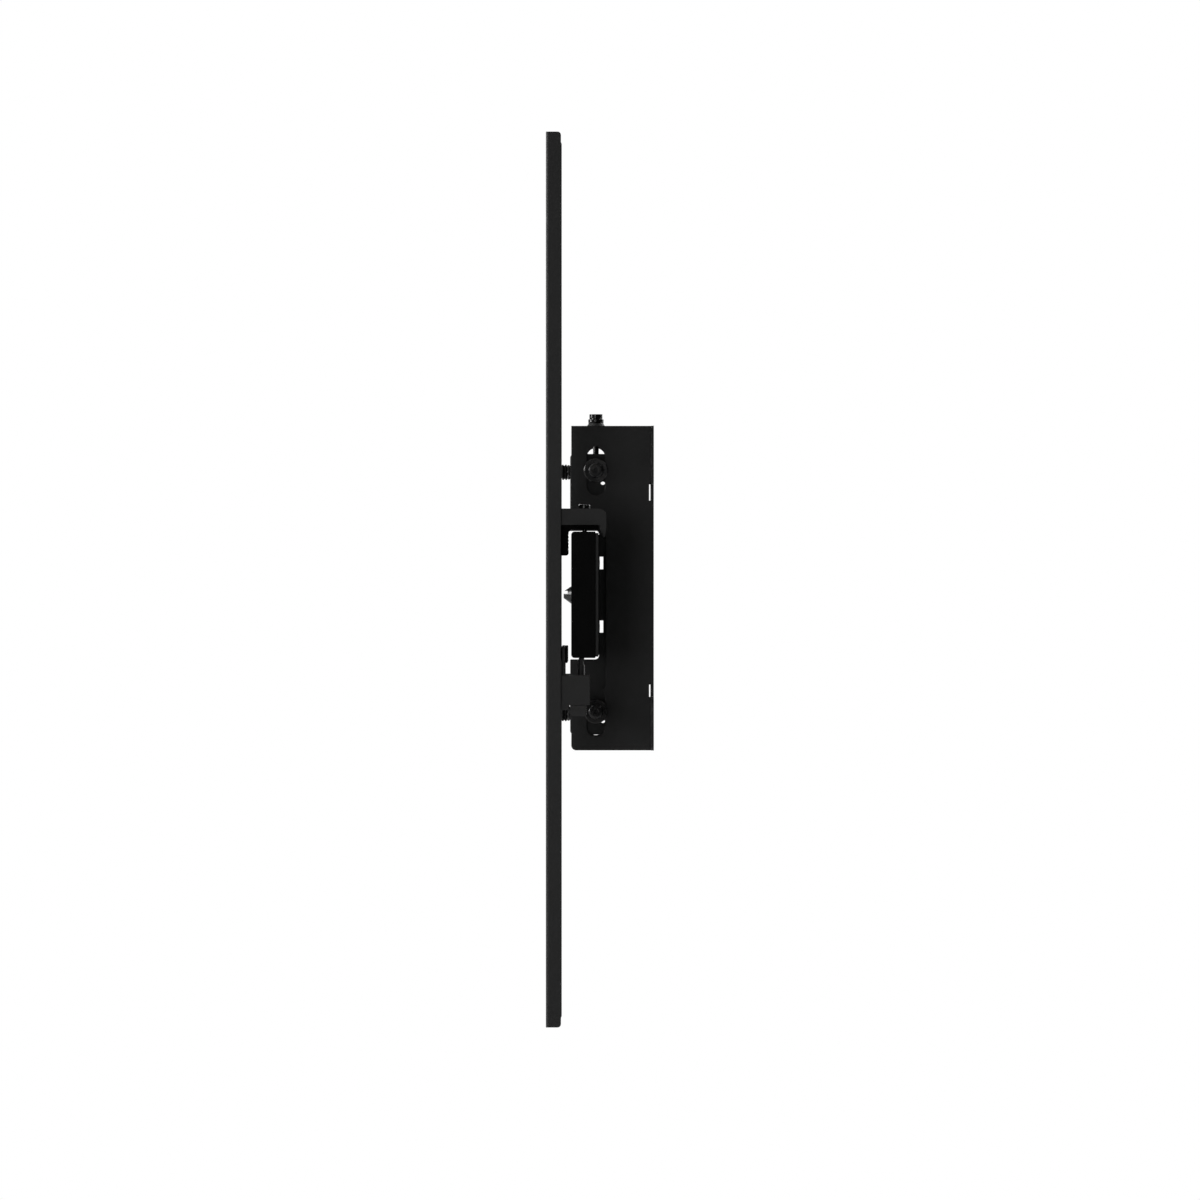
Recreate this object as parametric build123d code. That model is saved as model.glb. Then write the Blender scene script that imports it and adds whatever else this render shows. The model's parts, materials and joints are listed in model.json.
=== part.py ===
from build123d import *
import math
import os

# Full-motion television wall mount, folded flat against the wall.
# X runs along the wall, +Y into the wall (wall surface at Y = 0) and +Z up.
# The origin is the centre of the wall plate's back face. All lengths are in millimetres.

# Wall box: a shallow sheet-steel box that screws to two studs
SHEET = 2.2
BACK_SHEET = 2.0
BOX_HALF_WIDTH = 180.0
BOX_HALF_HEIGHT = 118.6
BOX_DEPTH = 60.3
BOX_INSIDE = BOX_HALF_WIDTH - SHEET
EAR_REACH = 222.0
EAR_SPANS = ((75.8, BOX_HALF_HEIGHT), (-BOX_HALF_HEIGHT, -79.4))
STUD_HALF_SPACING = 203.2
LAG_HALF_HEIGHT = 96.0
LAG_SLOT_LENGTH = 25.0
LAG_SLOT_WIDTH = 9.0
BEND_SLITS = ((64.0, 76.9), (-80.4, -70.5))
BOX_NOTCH_BACK = -35.0
BOX_NOTCH_SPAN = (-74.3, 57.6)
NOTCH_RADIUS = 3.6

# Height adjustment: the inner frame hangs on two screws and is clamped through side slots
SLOT_Y = -42.3
SLOT_LENGTH = 35.7
SLOT_WIDTH = 13.5
SLOT_CENTRES = (85.8, -90.8)
CLAMP_HEIGHTS = (86.1, -90.3)
M6_RADIUS = 3.0
CLAMP_HEAD_RADIUS = 5.4
CLAMP_WASHER_RADIUS = 8.75
HEIGHT_SCREW_X = 140.0
HEIGHT_SCREW_RADIUS = 2.1
HEIGHT_SCREW_END = 80.0
BUSHING_SPAN = (BOX_HALF_HEIGHT, BOX_HALF_HEIGHT + 2.9)
SCREW_FLANGE_SPAN = (BUSHING_SPAN[1], BUSHING_SPAN[1] + 2.0)
SCREW_NECK_SPAN = (SCREW_FLANGE_SPAN[1], SCREW_FLANGE_SPAN[1] + 1.2)
SCREW_HEAD_SPAN = (SCREW_FLANGE_SPAN[1] + 1.0, SCREW_FLANGE_SPAN[1] + 3.8)

# Inner frame
FRAME_OUTSIDE = 177.3
FRAME_INSIDE = FRAME_OUTSIDE - SHEET
FRAME_FRONT = -61.1
FRAME_BACK = -4.2
FRAME_SPAN = (-107.1, 98.1)
FRAME_NOTCH_BACK = -40.0
FRAME_NOTCH_SPAN = (-52.6, 42.7)
RELIEF_BACK = -36.9
RELIEF_SPANS = ((13.8, 23.3), (-32.8, -23.7))
PILOT_HOLES = ((-37.2, 77.2), (-37.2, -98.0))
TAB_REACH = 150.0
BUMPER_X = 163.0
BUMPER_TABS = ((74.0, 93.9, 85.2), (-104.1, -80.0, -92.2))
BUMPER_TIP_RADIUS = 5.1
BUMPER_NUT_SPAN = (FRAME_FRONT - 2.5, FRAME_FRONT)
WASHER_SPAN = (BOX_HALF_WIDTH + 0.05, BOX_HALF_WIDTH + 1.65)
CLAMP_HEAD_SPAN = (WASHER_SPAN[1], WASHER_SPAN[1] + 3.3)
CLAMP_NUT_SPAN = (FRAME_INSIDE - 5.2, FRAME_INSIDE)

# Folding arms: equal links, so the head runs straight out from the wall
PIVOT_X = 46.0
ELBOW_X = 160.0
WALL_PIVOT_Y = -12.6
HEAD_PIVOT_Y = -28.0
ELBOW_Y = (WALL_PIVOT_Y + HEAD_PIVOT_Y) / 2
LINK_THICKNESS = 11.5
LINK_WALL = 2.0
LINK_HALF_HEIGHT = 30.0
LINK_REACH = (PIVOT_X + 12, ELBOW_X - 11)
LINK_WINDOW_XS = (78.0, 100.0, 122.0)
PLATE_GAP = 0.04
PIVOT_BOSS_RADIUS = 7.3
ELBOW_BOSS_RADIUS = 8.5
PIN_RADIUS = 4.0
RUNNING_CLEARANCE = 0.05
OPEN_PIVOT_CLEARANCE = 0.2
KNUCKLE_SPLIT = 9.5
KNUCKLE_GAP = 1.0
CLEVIS_GAP = 1.0
CLEVIS_THICKNESS = 4.0
CLEVIS_INNER = LINK_HALF_HEIGHT + CLEVIS_GAP
CLEVIS_OUTER = CLEVIS_INNER + CLEVIS_THICKNESS
BASE_FOOT_HALF_WIDTH = 38.0
BASE_LEDGE_HALF_WIDTH = PIVOT_X + 8.0
BASE_FRONT = FRAME_BACK - BACK_SHEET - 2.5
BASE_BOLT_X = (-24.0, 24.0)
BASE_BOLT_Z = CLEVIS_OUTER + 13

# Head: swivel pin, yoke and tilt axis
HEAD_HALF_WIDTH = 6.5
HEAD_WEB_REACH = 20.0
HEAD_WEB_Y = (-22.8, -20.8)
SWIVEL_Y = -29.5
SWIVEL_PIN_RADIUS = 3.8
YOKE_HUB_RADIUS = 6.5
YOKE_HUB_SPAN = (-21.0, 11.0)
YOKE_PLATE_SPAN = (-19.0, 9.6)
YOKE_PLATE_Y = (-37.8, -34.6)
LUG_X = (14.0, 18.0)
LUG_RADIUS = 6.2
TILT_Y = -51.0
TILT_Z = -4.7
TILT_EAR_X = (LUG_X[1] + 1, LUG_X[1] + 4.5)
TILT_EAR_ROOT = (-26.0, 17.0)
TILT_NUT_X = (TILT_EAR_X[1] + 0.1, TILT_EAR_X[1] + 4.0)

# Crossbar that carries the television rails
BAR_HALF_LENGTH = 330.0
BAR_FRONT = -60.25
BAR_REAR = -42.7
BAR_SPAN = (-50.9, 41.1)
BAR_WALL = 2.5
BAR_PLATE_REAR = -40.4
BAR_CORNER = 2.5
BAR_PLATE_INNER_END = 64.0
BAR_STUD_XS = (110.0, 250.0)
BAR_STUD_HEIGHTS = (18.8, -27.8)
BAR_STUD_RADIUS = 5.5
BAR_STUD_END = -39.4
BUFFER_XS = (150.0, 168.0)
BUFFER_REAR = -39.5
CAP_THICKNESS = 2.0
CONE_SLOT_SPAN = (TILT_Z + 0.6, TILT_Z + 2.7)
CAP_PLUG_DEPTH = 10.0

# Television rails
RAIL_X = 300.0
RAIL_HALF_WIDTH = 16.0
RAIL_FRONT = -78.7
RAIL_REAR = -67.75
RAIL_SPAN = (-319.8, 332.2)
RAIL_SHEET = 2.0
RAIL_BEND = 2.2
RAIL_MIDDLE = (RAIL_SPAN[0] + RAIL_SPAN[1]) / 2
VESA_OFFSETS = (-300.0, -200.0, -100.0, 100.0, 200.0, 300.0)
VESA_HOLE_RADIUS = 4.25
RAIL_SLOT_OFFSETS = (-250.0, -150.0, 150.0, 250.0)

# Brackets that hang a rail on the crossbar, and the latch under it
BRACKET_HALF_WIDTH = 13.5
BRACKET_SHEET = 2.5
BRACKET_WIDTH = (RAIL_X - BRACKET_HALF_WIDTH, RAIL_X + BRACKET_HALF_WIDTH)
BRACKET_ROOT = RAIL_FRONT + RAIL_SHEET
CHEEKS = (
    (BRACKET_WIDTH[1] - BRACKET_SHEET, BRACKET_WIDTH[1]),
    (BRACKET_WIDTH[0], BRACKET_WIDTH[0] + BRACKET_SHEET),
)
HOOK_BACK = -34.6
HOOK_SPAN = (45.9, 57.9)
HOOK_CORNER = 5.8
LEVEL_SCREW_Y = -50.6
PAD_BACK = -62.6
PAD_LEDGE_END = -40.3
PAD_LEDGE_GAP = 1.5
LOCK_Y = -52.9
LOCK_BRACKET_SPAN = (-85.2, -63.4)
LOCK_BRACKET_Y = (-61.9, -46.6)
LOCK_TAB_Z = (-93.2, LOCK_BRACKET_SPAN[0] - 0.15)
LOCK_PIN_RADIUS = 2.6
LOCK_COLLAR_SPAN = (-66.0, -64.4)
LOWER_PAD_Z = -48.45
LOWER_TAB_Y = (-67.2, -64.8)


def slab(xs, ys, zs):
    """A block between two X, two Y and two Z values."""
    size = (xs[1] - xs[0], ys[1] - ys[0], zs[1] - zs[0])
    return Pos(sum(xs) / 2, sum(ys) / 2, sum(zs) / 2) * Box(*size)


def rod_x(radius, xs, y, z):
    """A round bar along X."""
    return Pos(sum(xs) / 2, y, z) * Rot(0, 90, 0) * Cylinder(radius, xs[1] - xs[0])


def rod_y(radius, ys, x, z):
    """A round bar along Y."""
    return Pos(x, sum(ys) / 2, z) * Rot(90, 0, 0) * Cylinder(radius, ys[1] - ys[0])


def rod_z(radius, zs, x, y):
    """A round bar along Z."""
    return Pos(x, y, sum(zs) / 2) * Cylinder(radius, zs[1] - zs[0])


def ring_x(outer, inner, xs, y, z):
    return rod_x(outer, xs, y, z) - rod_x(inner, xs, y, z)


def ring_z(outer, inner, zs, x, y):
    return rod_z(outer, zs, x, y) - rod_z(inner, zs, x, y)


def hex_x(across, xs, y, z):
    """A hexagonal prism along X; across is the width across flats."""
    face = Plane.YZ.offset(xs[0]) * Pos(y, z) * RegularPolygon(across / math.sqrt(3), 6)
    return extrude(face, xs[1] - xs[0])


def hex_y(across, ys, x, z):
    face = Plane.XZ.offset(-ys[1]) * Pos(x, z) * RegularPolygon(across / math.sqrt(3), 6)
    return extrude(face, ys[1] - ys[0])


def hex_z(across, zs, x, y):
    face = Plane.XY.offset(zs[0]) * Pos(x, y) * RegularPolygon(across / math.sqrt(3), 6)
    return extrude(face, zs[1] - zs[0])


def side_sheet(face, xs):
    """A profile drawn in (Y, Z), given thickness along X."""
    return extrude(Plane.YZ.offset(xs[0]) * face, xs[1] - xs[0])


def front_sheet(face, ys):
    """A profile drawn in (X, Z), given thickness along Y."""
    return extrude(Plane.XZ.offset(-ys[1]) * face, ys[1] - ys[0])


def flat_sheet(face, zs):
    """A profile drawn in (X, Y), given thickness along Z."""
    return extrude(Plane.XY.offset(zs[0]) * face, zs[1] - zs[0])


def rectangle(us, vs):
    return Pos(sum(us) / 2, sum(vs) / 2) * Rectangle(us[1] - us[0], vs[1] - vs[0])


def round_corner(face, point, radius):
    """Round the corner of a flat face that is nearest to a point."""
    corner = min(face.vertices(), key=lambda v: math.dist((v.X, v.Y), point))
    return fillet(corner, radius)


def mirrored(solid):
    return mirror(solid, Plane.YZ)


def both_sides(solid):
    """The solid on the +X side and its mirror image on the -X side."""
    return [solid, mirrored(solid)]


def socket_head(radius, across, depth, xs, y, z):
    """A domed button head along X with a hexagonal socket in its outer end."""
    head = rod_x(radius, xs, y, z)
    rim = head.edges().filter_by(GeomType.CIRCLE).sort_by(Axis.X)[-1]
    head = fillet(rim, 0.45 * (xs[1] - xs[0]))
    return head - hex_x(across, (xs[1] - depth, xs[1] + 1), y, z)


# ---------------------------------------------------------------- wall box


def wall_plate():
    face = rectangle((-BOX_INSIDE, BOX_INSIDE), (-BOX_HALF_HEIGHT, BOX_HALF_HEIGHT))
    for low, high in EAR_SPANS:
        face += Pos(0, (low + high) / 2) * RectangleRounded(2 * EAR_REACH, high - low, 5)
    for x in (-1, 1):
        face -= Pos(x * 96, -4) * RectangleRounded(132, 112, 10)
        for z in (-LAG_HALF_HEIGHT, LAG_HALF_HEIGHT):
            face -= Pos(x * STUD_HALF_SPACING, z) * SlotOverall(LAG_SLOT_LENGTH, LAG_SLOT_WIDTH)
    return front_sheet(face, (-BACK_SHEET, 0))


def box_side():
    face = rectangle((-BOX_DEPTH, 0), (-BOX_HALF_HEIGHT, BOX_HALF_HEIGHT))
    face = round_corner(face, (-BOX_DEPTH, -BOX_HALF_HEIGHT), NOTCH_RADIUS)
    low, high = BOX_NOTCH_SPAN
    notch_width = 2 * (BOX_DEPTH + BOX_NOTCH_BACK)
    face -= Pos(-BOX_DEPTH, (low + high) / 2) * RectangleRounded(notch_width, high - low, NOTCH_RADIUS)
    for centre in SLOT_CENTRES:
        face -= Pos(SLOT_Y, centre) * SlotOverall(SLOT_LENGTH, SLOT_WIDTH, rotation=90)
    for low, high in EAR_SPANS:
        face -= rectangle((-BACK_SHEET, 1), (low, high))
    for low, high in BEND_SLITS:
        face -= rectangle((-3.4, -1.9), (low, high))
    return side_sheet(face, (BOX_INSIDE, BOX_HALF_WIDTH))


def box_shelf(zs, front):
    """The box's top or bottom wall, with a row of lightening slots."""
    face = rectangle((-BOX_INSIDE, BOX_INSIDE), (front, -BACK_SHEET))
    for x in (-96, 0, 96):
        face -= Pos(x, -22) * SlotOverall(60, 14)
    for x in (-HEIGHT_SCREW_X, HEIGHT_SCREW_X):
        face -= Pos(x, SLOT_Y) * Circle(HEIGHT_SCREW_RADIUS + 0.4)
    return flat_sheet(face, zs)


def height_screw():
    """A hanging screw: shank, flange, waisted neck and a hexagon-socket head."""
    screw = rod_z(HEIGHT_SCREW_RADIUS, (HEIGHT_SCREW_END, SCREW_FLANGE_SPAN[0]), HEIGHT_SCREW_X, SLOT_Y)
    screw += rod_z(5.6, SCREW_FLANGE_SPAN, HEIGHT_SCREW_X, SLOT_Y)
    screw += rod_z(3.6, SCREW_NECK_SPAN, HEIGHT_SCREW_X, SLOT_Y)
    screw += rod_z(4.75, SCREW_HEAD_SPAN, HEIGHT_SCREW_X, SLOT_Y)
    top = SCREW_HEAD_SPAN[1]
    return screw - hex_z(4.0, (top - 2.4, top + 1), HEIGHT_SCREW_X, SLOT_Y)


def height_bushing():
    """The conical seat between the box's top wall and the screw's flange."""
    low, high = BUSHING_SPAN
    cone = Pos(HEIGHT_SCREW_X, SLOT_Y, (low + high) / 2) * Cone(6.6, 4.8, high - low)
    return cone - rod_z(HEIGHT_SCREW_RADIUS + 0.1, (low - 1, high + 1), HEIGHT_SCREW_X, SLOT_Y)


def height_clip():
    """A retaining ring that keeps the screw from lifting out."""
    top = BOX_HALF_HEIGHT - SHEET - 0.1
    return ring_z(4.4, HEIGHT_SCREW_RADIUS + 0.01, (top - 1.2, top), HEIGHT_SCREW_X, SLOT_Y)


# ---------------------------------------------------------------- inner frame


def frame_side():
    face = rectangle((FRAME_FRONT, FRAME_BACK), FRAME_SPAN)
    face = round_corner(face, (FRAME_FRONT, FRAME_SPAN[0]), 3)
    face = round_corner(face, (FRAME_FRONT, FRAME_SPAN[1]), 3)
    low, high = FRAME_NOTCH_SPAN
    notch_width = 2 * (FRAME_NOTCH_BACK - FRAME_FRONT)
    face -= Pos(FRAME_FRONT, (low + high) / 2) * RectangleRounded(notch_width, high - low, 3)
    for span in RELIEF_SPANS:
        face -= rectangle((FRAME_NOTCH_BACK - 1, RELIEF_BACK), span)
    for y, z in PILOT_HOLES:
        face -= Pos(y, z) * Circle(1.7)
    for z in CLAMP_HEIGHTS:
        face -= Pos(SLOT_Y, z) * Circle(M6_RADIUS + 0.1)
    side = side_sheet(face, (FRAME_INSIDE, FRAME_OUTSIDE))
    for low, high, bumper_z in BUMPER_TABS:
        tab = slab((TAB_REACH, FRAME_INSIDE), (FRAME_FRONT, FRAME_FRONT + SHEET), (low, high))
        side += tab - rod_y(M6_RADIUS + 0.05, (-65, -50), BUMPER_X, bumper_z)
    return side


def frame_back():
    face = rectangle((-FRAME_INSIDE, FRAME_INSIDE), FRAME_SPAN)
    face -= RectangleRounded(2 * 62, 2 * (CLEVIS_INNER + 2), 4)
    for x in (-118, 118):
        face -= Pos(x, -5) * RectangleRounded(84, 130, 8)
    for x in BASE_BOLT_X:
        for z in (-BASE_BOLT_Z, BASE_BOLT_Z):
            face -= Pos(x, z) * Circle(M6_RADIUS + 0.05)
    return front_sheet(face, (FRAME_BACK - BACK_SHEET, FRAME_BACK))


def frame_shelf(zs, screwed):
    """The inner frame's top or bottom wall; the top one takes the height screws."""
    inside_front = FRAME_FRONT + SHEET
    face = rectangle((-FRAME_INSIDE, FRAME_INSIDE), (inside_front, FRAME_BACK - BACK_SHEET))
    for x in (-90, 0, 90):
        face -= Pos(x, -30) * SlotOverall(64, 20)
    if screwed:
        for x in (-HEIGHT_SCREW_X, HEIGHT_SCREW_X):
            face -= Pos(x, SLOT_Y) * Circle(HEIGHT_SCREW_RADIUS + 0.1)
    return flat_sheet(face, zs)


def height_nut():
    top = FRAME_SPAN[1] - BACK_SHEET
    nut = slab((HEIGHT_SCREW_X - 5, HEIGHT_SCREW_X + 5), (SLOT_Y - 5, SLOT_Y + 5), (top - 5, top))
    return nut - rod_z(HEIGHT_SCREW_RADIUS + RUNNING_CLEARANCE, (top - 6, top + 1), HEIGHT_SCREW_X, SLOT_Y)


def clamp_bolt(z):
    bolt = rod_x(M6_RADIUS, (CLAMP_NUT_SPAN[0] - 2, CLAMP_HEAD_SPAN[0]), SLOT_Y, z)
    return bolt + socket_head(CLAMP_HEAD_RADIUS, 4.0, 2.0, CLAMP_HEAD_SPAN, SLOT_Y, z)


def clamp_washer(z):
    washer = ring_x(CLAMP_WASHER_RADIUS, M6_RADIUS + 0.1, WASHER_SPAN, SLOT_Y, z)
    rim = washer.edges().filter_by(GeomType.CIRCLE).group_by(Axis.X)[-1].sort_by(SortBy.RADIUS)[-1]
    return chamfer(rim, 0.4)


def clamp_nut(z):
    return hex_x(10, CLAMP_NUT_SPAN, SLOT_Y, z) - rod_x(M6_RADIUS + 0.01, CLAMP_NUT_SPAN, SLOT_Y, z)


def clamp_shim(z):
    """A thin nylon shim that guides the inner frame in the box."""
    gap = (FRAME_OUTSIDE + 0.02, BOX_INSIDE - 0.03)
    return ring_x(7.0, M6_RADIUS + 0.1, gap, SLOT_Y, z)


def bumper(z):
    """A rubber-tipped stop stud on the frame's front tab."""
    tip = rod_y(BUMPER_TIP_RADIUS, (RAIL_REAR + 0.3, BUMPER_NUT_SPAN[0]), BUMPER_X, z)
    tip = fillet(tip.edges().filter_by(GeomType.CIRCLE).sort_by(Axis.Y)[0], 1.0)
    return tip + rod_y(M6_RADIUS, (BUMPER_NUT_SPAN[0], FRAME_FRONT + 8), BUMPER_X, z)


def bumper_nut(z):
    nut = hex_y(8.3, BUMPER_NUT_SPAN, BUMPER_X, z)
    return nut - rod_y(M6_RADIUS + 0.01, BUMPER_NUT_SPAN, BUMPER_X, z)


def arm_base():
    """The upper clevis bracket that carries both arms; the lower one is its mirror image."""
    foot_face = rectangle((-BASE_FOOT_HALF_WIDTH, BASE_FOOT_HALF_WIDTH), (CLEVIS_INNER, CLEVIS_OUTER + 23))
    foot = front_sheet(foot_face, (BASE_FRONT, FRAME_BACK - BACK_SHEET))
    nose = WALL_PIVOT_Y - 7
    ledge_face = rectangle((-BASE_LEDGE_HALF_WIDTH, BASE_LEDGE_HALF_WIDTH), (nose, BASE_FRONT))
    for x in (-BASE_LEDGE_HALF_WIDTH, BASE_LEDGE_HALF_WIDTH):
        ledge_face = round_corner(ledge_face, (x, nose), 7)
    for x in (-PIVOT_X, PIVOT_X):
        ledge_face -= Pos(x, WALL_PIVOT_Y) * Circle(PIN_RADIUS + 0.02)
    base = foot + flat_sheet(ledge_face, (CLEVIS_INNER, CLEVIS_OUTER))
    for x in BASE_BOLT_X:
        base -= rod_y(M6_RADIUS + 0.1, (-20, 0), x, BASE_BOLT_Z)
    return base


def base_bolt(x, z):
    """A bolt pressed in from behind the frame, with its nut in front."""
    bolt = rod_y(M6_RADIUS, (BASE_FRONT - 6.5, FRAME_BACK + 0.9), x, z)
    return bolt + hex_y(10, (BASE_FRONT - 4.5, BASE_FRONT), x, z)


def pivot_pin(x, y):
    """A headed pivot pin that passes through both clevis plates."""
    pin = rod_z(PIN_RADIUS, (-CLEVIS_OUTER - 2.6, CLEVIS_OUTER), x, y)
    head = rod_z(6.0, (CLEVIS_OUTER, CLEVIS_OUTER + 2.0), x, y)
    head = fillet(head.edges().filter_by(GeomType.CIRCLE).sort_by(Axis.Z)[-1], 0.8)
    return pin + head


def pivot_clip(x, y):
    """A retaining ring under the lower clevis plate."""
    return ring_z(5.6, PIN_RADIUS + 0.01, (-CLEVIS_OUTER - 1.4, -CLEVIS_OUTER - 0.1), x, y)


def pivot_washers(x, y):
    """Nylon washers above and below a link's end."""
    gap = (LINK_HALF_HEIGHT + 0.05, CLEVIS_INNER - 0.05)
    below = (-gap[1], -gap[0])
    return [ring_z(PIVOT_BOSS_RADIUS - 0.5, PIN_RADIUS + 0.1, span, x, y) for span in (gap, below)]


# ---------------------------------------------------------------- arms


def link_face(pivot_y, part):
    """The plan outline of a link's plain end or of its elbow end."""
    half = LINK_THICKNESS / 2
    if part == "pivot":
        outline = Pos(PIVOT_X, pivot_y) * Circle(PIVOT_BOSS_RADIUS)
        stem = rectangle((PIVOT_X + 10, PIVOT_X + 14), (pivot_y - half, pivot_y + half))
    else:
        outline = Pos(ELBOW_X, ELBOW_Y) * Circle(ELBOW_BOSS_RADIUS)
        stem = rectangle((ELBOW_X - 14, ELBOW_X - 11), (pivot_y - half, pivot_y + half))
    return make_hull(outline.edges() + stem.edges())


def link_plates(pivot_y):
    """The two pierced plates that close a link's open frame, front and back."""
    reach = (LINK_REACH[0] + 6, LINK_REACH[1] - 8)
    height = 2 * (LINK_HALF_HEIGHT - LINK_WALL)
    face = Pos(sum(reach) / 2, 0) * Rectangle(reach[1] - reach[0] - PLATE_GAP, height - PLATE_GAP)
    for x in LINK_WINDOW_XS:
        face -= Pos(x, 0) * SlotOverall(32, 12, rotation=90)
    front = pivot_y - LINK_THICKNESS / 2
    back = pivot_y + LINK_THICKNESS / 2
    return [front_sheet(face, ys) for ys in ((front, front + LINK_WALL), (back - LINK_WALL, back))]


def link(pivot_y, knuckle_spans, pivot_hole):
    """A folding arm's link on the +X side: open frame, pivot boss and elbow knuckles."""
    half = LINK_THICKNESS / 2
    full = (-LINK_HALF_HEIGHT, LINK_HALF_HEIGHT)
    bar = slab(LINK_REACH, (pivot_y - half, pivot_y + half), full)
    bar = fillet(bar.edges().filter_by(Axis.X), 1.8)
    window = (full[0] + LINK_WALL, full[1] - LINK_WALL)
    bar -= slab((LINK_REACH[0] + 6, LINK_REACH[1] - 8), (pivot_y - half - 1, pivot_y + half + 1), window)
    bar += flat_sheet(link_face(pivot_y, "pivot"), full)
    for span in knuckle_spans:
        bar += flat_sheet(link_face(pivot_y, "elbow"), span)
    bar -= rod_z(pivot_hole, (-40, 40), PIVOT_X, pivot_y)
    return bar - rod_z(PIN_RADIUS + RUNNING_CLEARANCE, (-40, 40), ELBOW_X, ELBOW_Y)


def inner_arm():
    upper = (KNUCKLE_SPLIT + KNUCKLE_GAP, LINK_HALF_HEIGHT)
    lower = (-upper[1], -upper[0])
    frame = link(WALL_PIVOT_Y, [upper, lower], PIN_RADIUS + RUNNING_CLEARANCE)
    return [frame, *link_plates(WALL_PIVOT_Y)]


def outer_arm(pivot_hole):
    frame = link(HEAD_PIVOT_Y, [(-KNUCKLE_SPLIT, KNUCKLE_SPLIT)], pivot_hole)
    return [frame, *link_plates(HEAD_PIVOT_Y)]


def elbow_pin():
    pin = rod_z(PIN_RADIUS, (-LINK_HALF_HEIGHT - 2.4, LINK_HALF_HEIGHT + 2.4), ELBOW_X, ELBOW_Y)
    for end in (1, -1):
        span = sorted((end * (LINK_HALF_HEIGHT + 0.05), end * (LINK_HALF_HEIGHT + 2.4)))
        pin += rod_z(5.6, span, ELBOW_X, ELBOW_Y)
    return pin


def elbow_washers():
    upper = (KNUCKLE_SPLIT + 0.05, KNUCKLE_SPLIT + KNUCKLE_GAP - 0.05)
    lower = (-upper[1], -upper[0])
    return [ring_z(7.8, PIN_RADIUS + 0.1, span, ELBOW_X, ELBOW_Y) for span in (upper, lower)]


def elbow_caps():
    """Moulded covers over the two ends of the elbow pin."""
    low, high = LINK_HALF_HEIGHT + 0.05, LINK_HALF_HEIGHT + 4.6
    cap = rod_z(ELBOW_BOSS_RADIUS, (low, high), ELBOW_X, ELBOW_Y)
    cap = fillet(cap.edges().filter_by(GeomType.CIRCLE).sort_by(Axis.Z)[-1], 1.6)
    cap -= rod_z(5.9, (low - 1, LINK_HALF_HEIGHT + 2.8), ELBOW_X, ELBOW_Y)
    return [cap, mirror(cap, Plane.XY)]


# ---------------------------------------------------------------- head, yoke


def head_bracket():
    """Two clevis plates joined by a short web behind the swivel pin."""
    full_width = 2 * (PIVOT_X + HEAD_HALF_WIDTH)
    plate_face = Pos(0, HEAD_PIVOT_Y) * SlotOverall(full_width, 2 * HEAD_HALF_WIDTH)
    web_x = (-HEAD_WEB_REACH, HEAD_WEB_REACH)
    plate_face += rectangle(web_x, (HEAD_PIVOT_Y - HEAD_HALF_WIDTH, HEAD_WEB_Y[1]))
    for x in (-PIVOT_X, PIVOT_X):
        plate_face -= Pos(x, HEAD_PIVOT_Y) * Circle(PIN_RADIUS + 0.02)
    plate_face -= Pos(0, SWIVEL_Y) * Circle(SWIVEL_PIN_RADIUS + 0.02)
    bracket = slab(web_x, HEAD_WEB_Y, (-CLEVIS_INNER, CLEVIS_INNER))
    for span in ((CLEVIS_INNER, CLEVIS_OUTER), (-CLEVIS_OUTER, -CLEVIS_INNER)):
        bracket += flat_sheet(plate_face, span)
    return bracket


def swivel_pin():
    pin = rod_z(SWIVEL_PIN_RADIUS, (-CLEVIS_OUTER - 4.5, CLEVIS_OUTER), 0, SWIVEL_Y)
    head = rod_z(6.0, (CLEVIS_OUTER, CLEVIS_OUTER + 3.5), 0, SWIVEL_Y)
    head = fillet(head.edges().filter_by(GeomType.CIRCLE).sort_by(Axis.Z)[-1], 1.2)
    head -= hex_z(5.0, (CLEVIS_OUTER + 1.5, CLEVIS_OUTER + 5), 0, SWIVEL_Y)
    return pin + head


def swivel_nut():
    span = (-CLEVIS_OUTER - 4.0, -CLEVIS_OUTER)
    return hex_z(9.0, span, 0, SWIVEL_Y) - rod_z(SWIVEL_PIN_RADIUS + 0.01, span, 0, SWIVEL_Y)


def swivel_spacers():
    """Tubes that hold the yoke's hub at mid height on the swivel pin."""
    spans = ((YOKE_HUB_SPAN[1] + 1, CLEVIS_INNER), (-CLEVIS_INNER, YOKE_HUB_SPAN[0] - 1))
    return [ring_z(5.5, SWIVEL_PIN_RADIUS + 0.02, span, 0, SWIVEL_Y) for span in spans]


def swivel_washers():
    """Nylon washers above and below the yoke's hub."""
    low, high = YOKE_HUB_SPAN
    spans = ((high + 0.05, high + 0.95), (low - 0.95, low - 0.05))
    return [ring_z(6.2, SWIVEL_PIN_RADIUS + 0.1, span, 0, SWIVEL_Y) for span in spans]


def swivel_yoke():
    """The hub on the swivel pin, its cross plate and the two tilt lugs."""
    yoke = rod_z(YOKE_HUB_RADIUS, YOKE_HUB_SPAN, 0, SWIVEL_Y)
    yoke += slab((-LUG_X[1], LUG_X[1]), YOKE_PLATE_Y, YOKE_PLATE_SPAN)
    eye = Pos(TILT_Y, TILT_Z) * Circle(LUG_RADIUS)
    root = rectangle((YOKE_PLATE_Y[0], YOKE_PLATE_Y[1]), YOKE_PLATE_SPAN)
    lug_face = make_hull(eye.edges() + root.edges())
    for lug in both_sides(side_sheet(lug_face, LUG_X)):
        yoke += lug
    yoke -= rod_x(PIN_RADIUS + 0.02, (-40, 40), TILT_Y, TILT_Z)
    return yoke - rod_z(SWIVEL_PIN_RADIUS + RUNNING_CLEARANCE, (-40, 40), 0, SWIVEL_Y)


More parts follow.
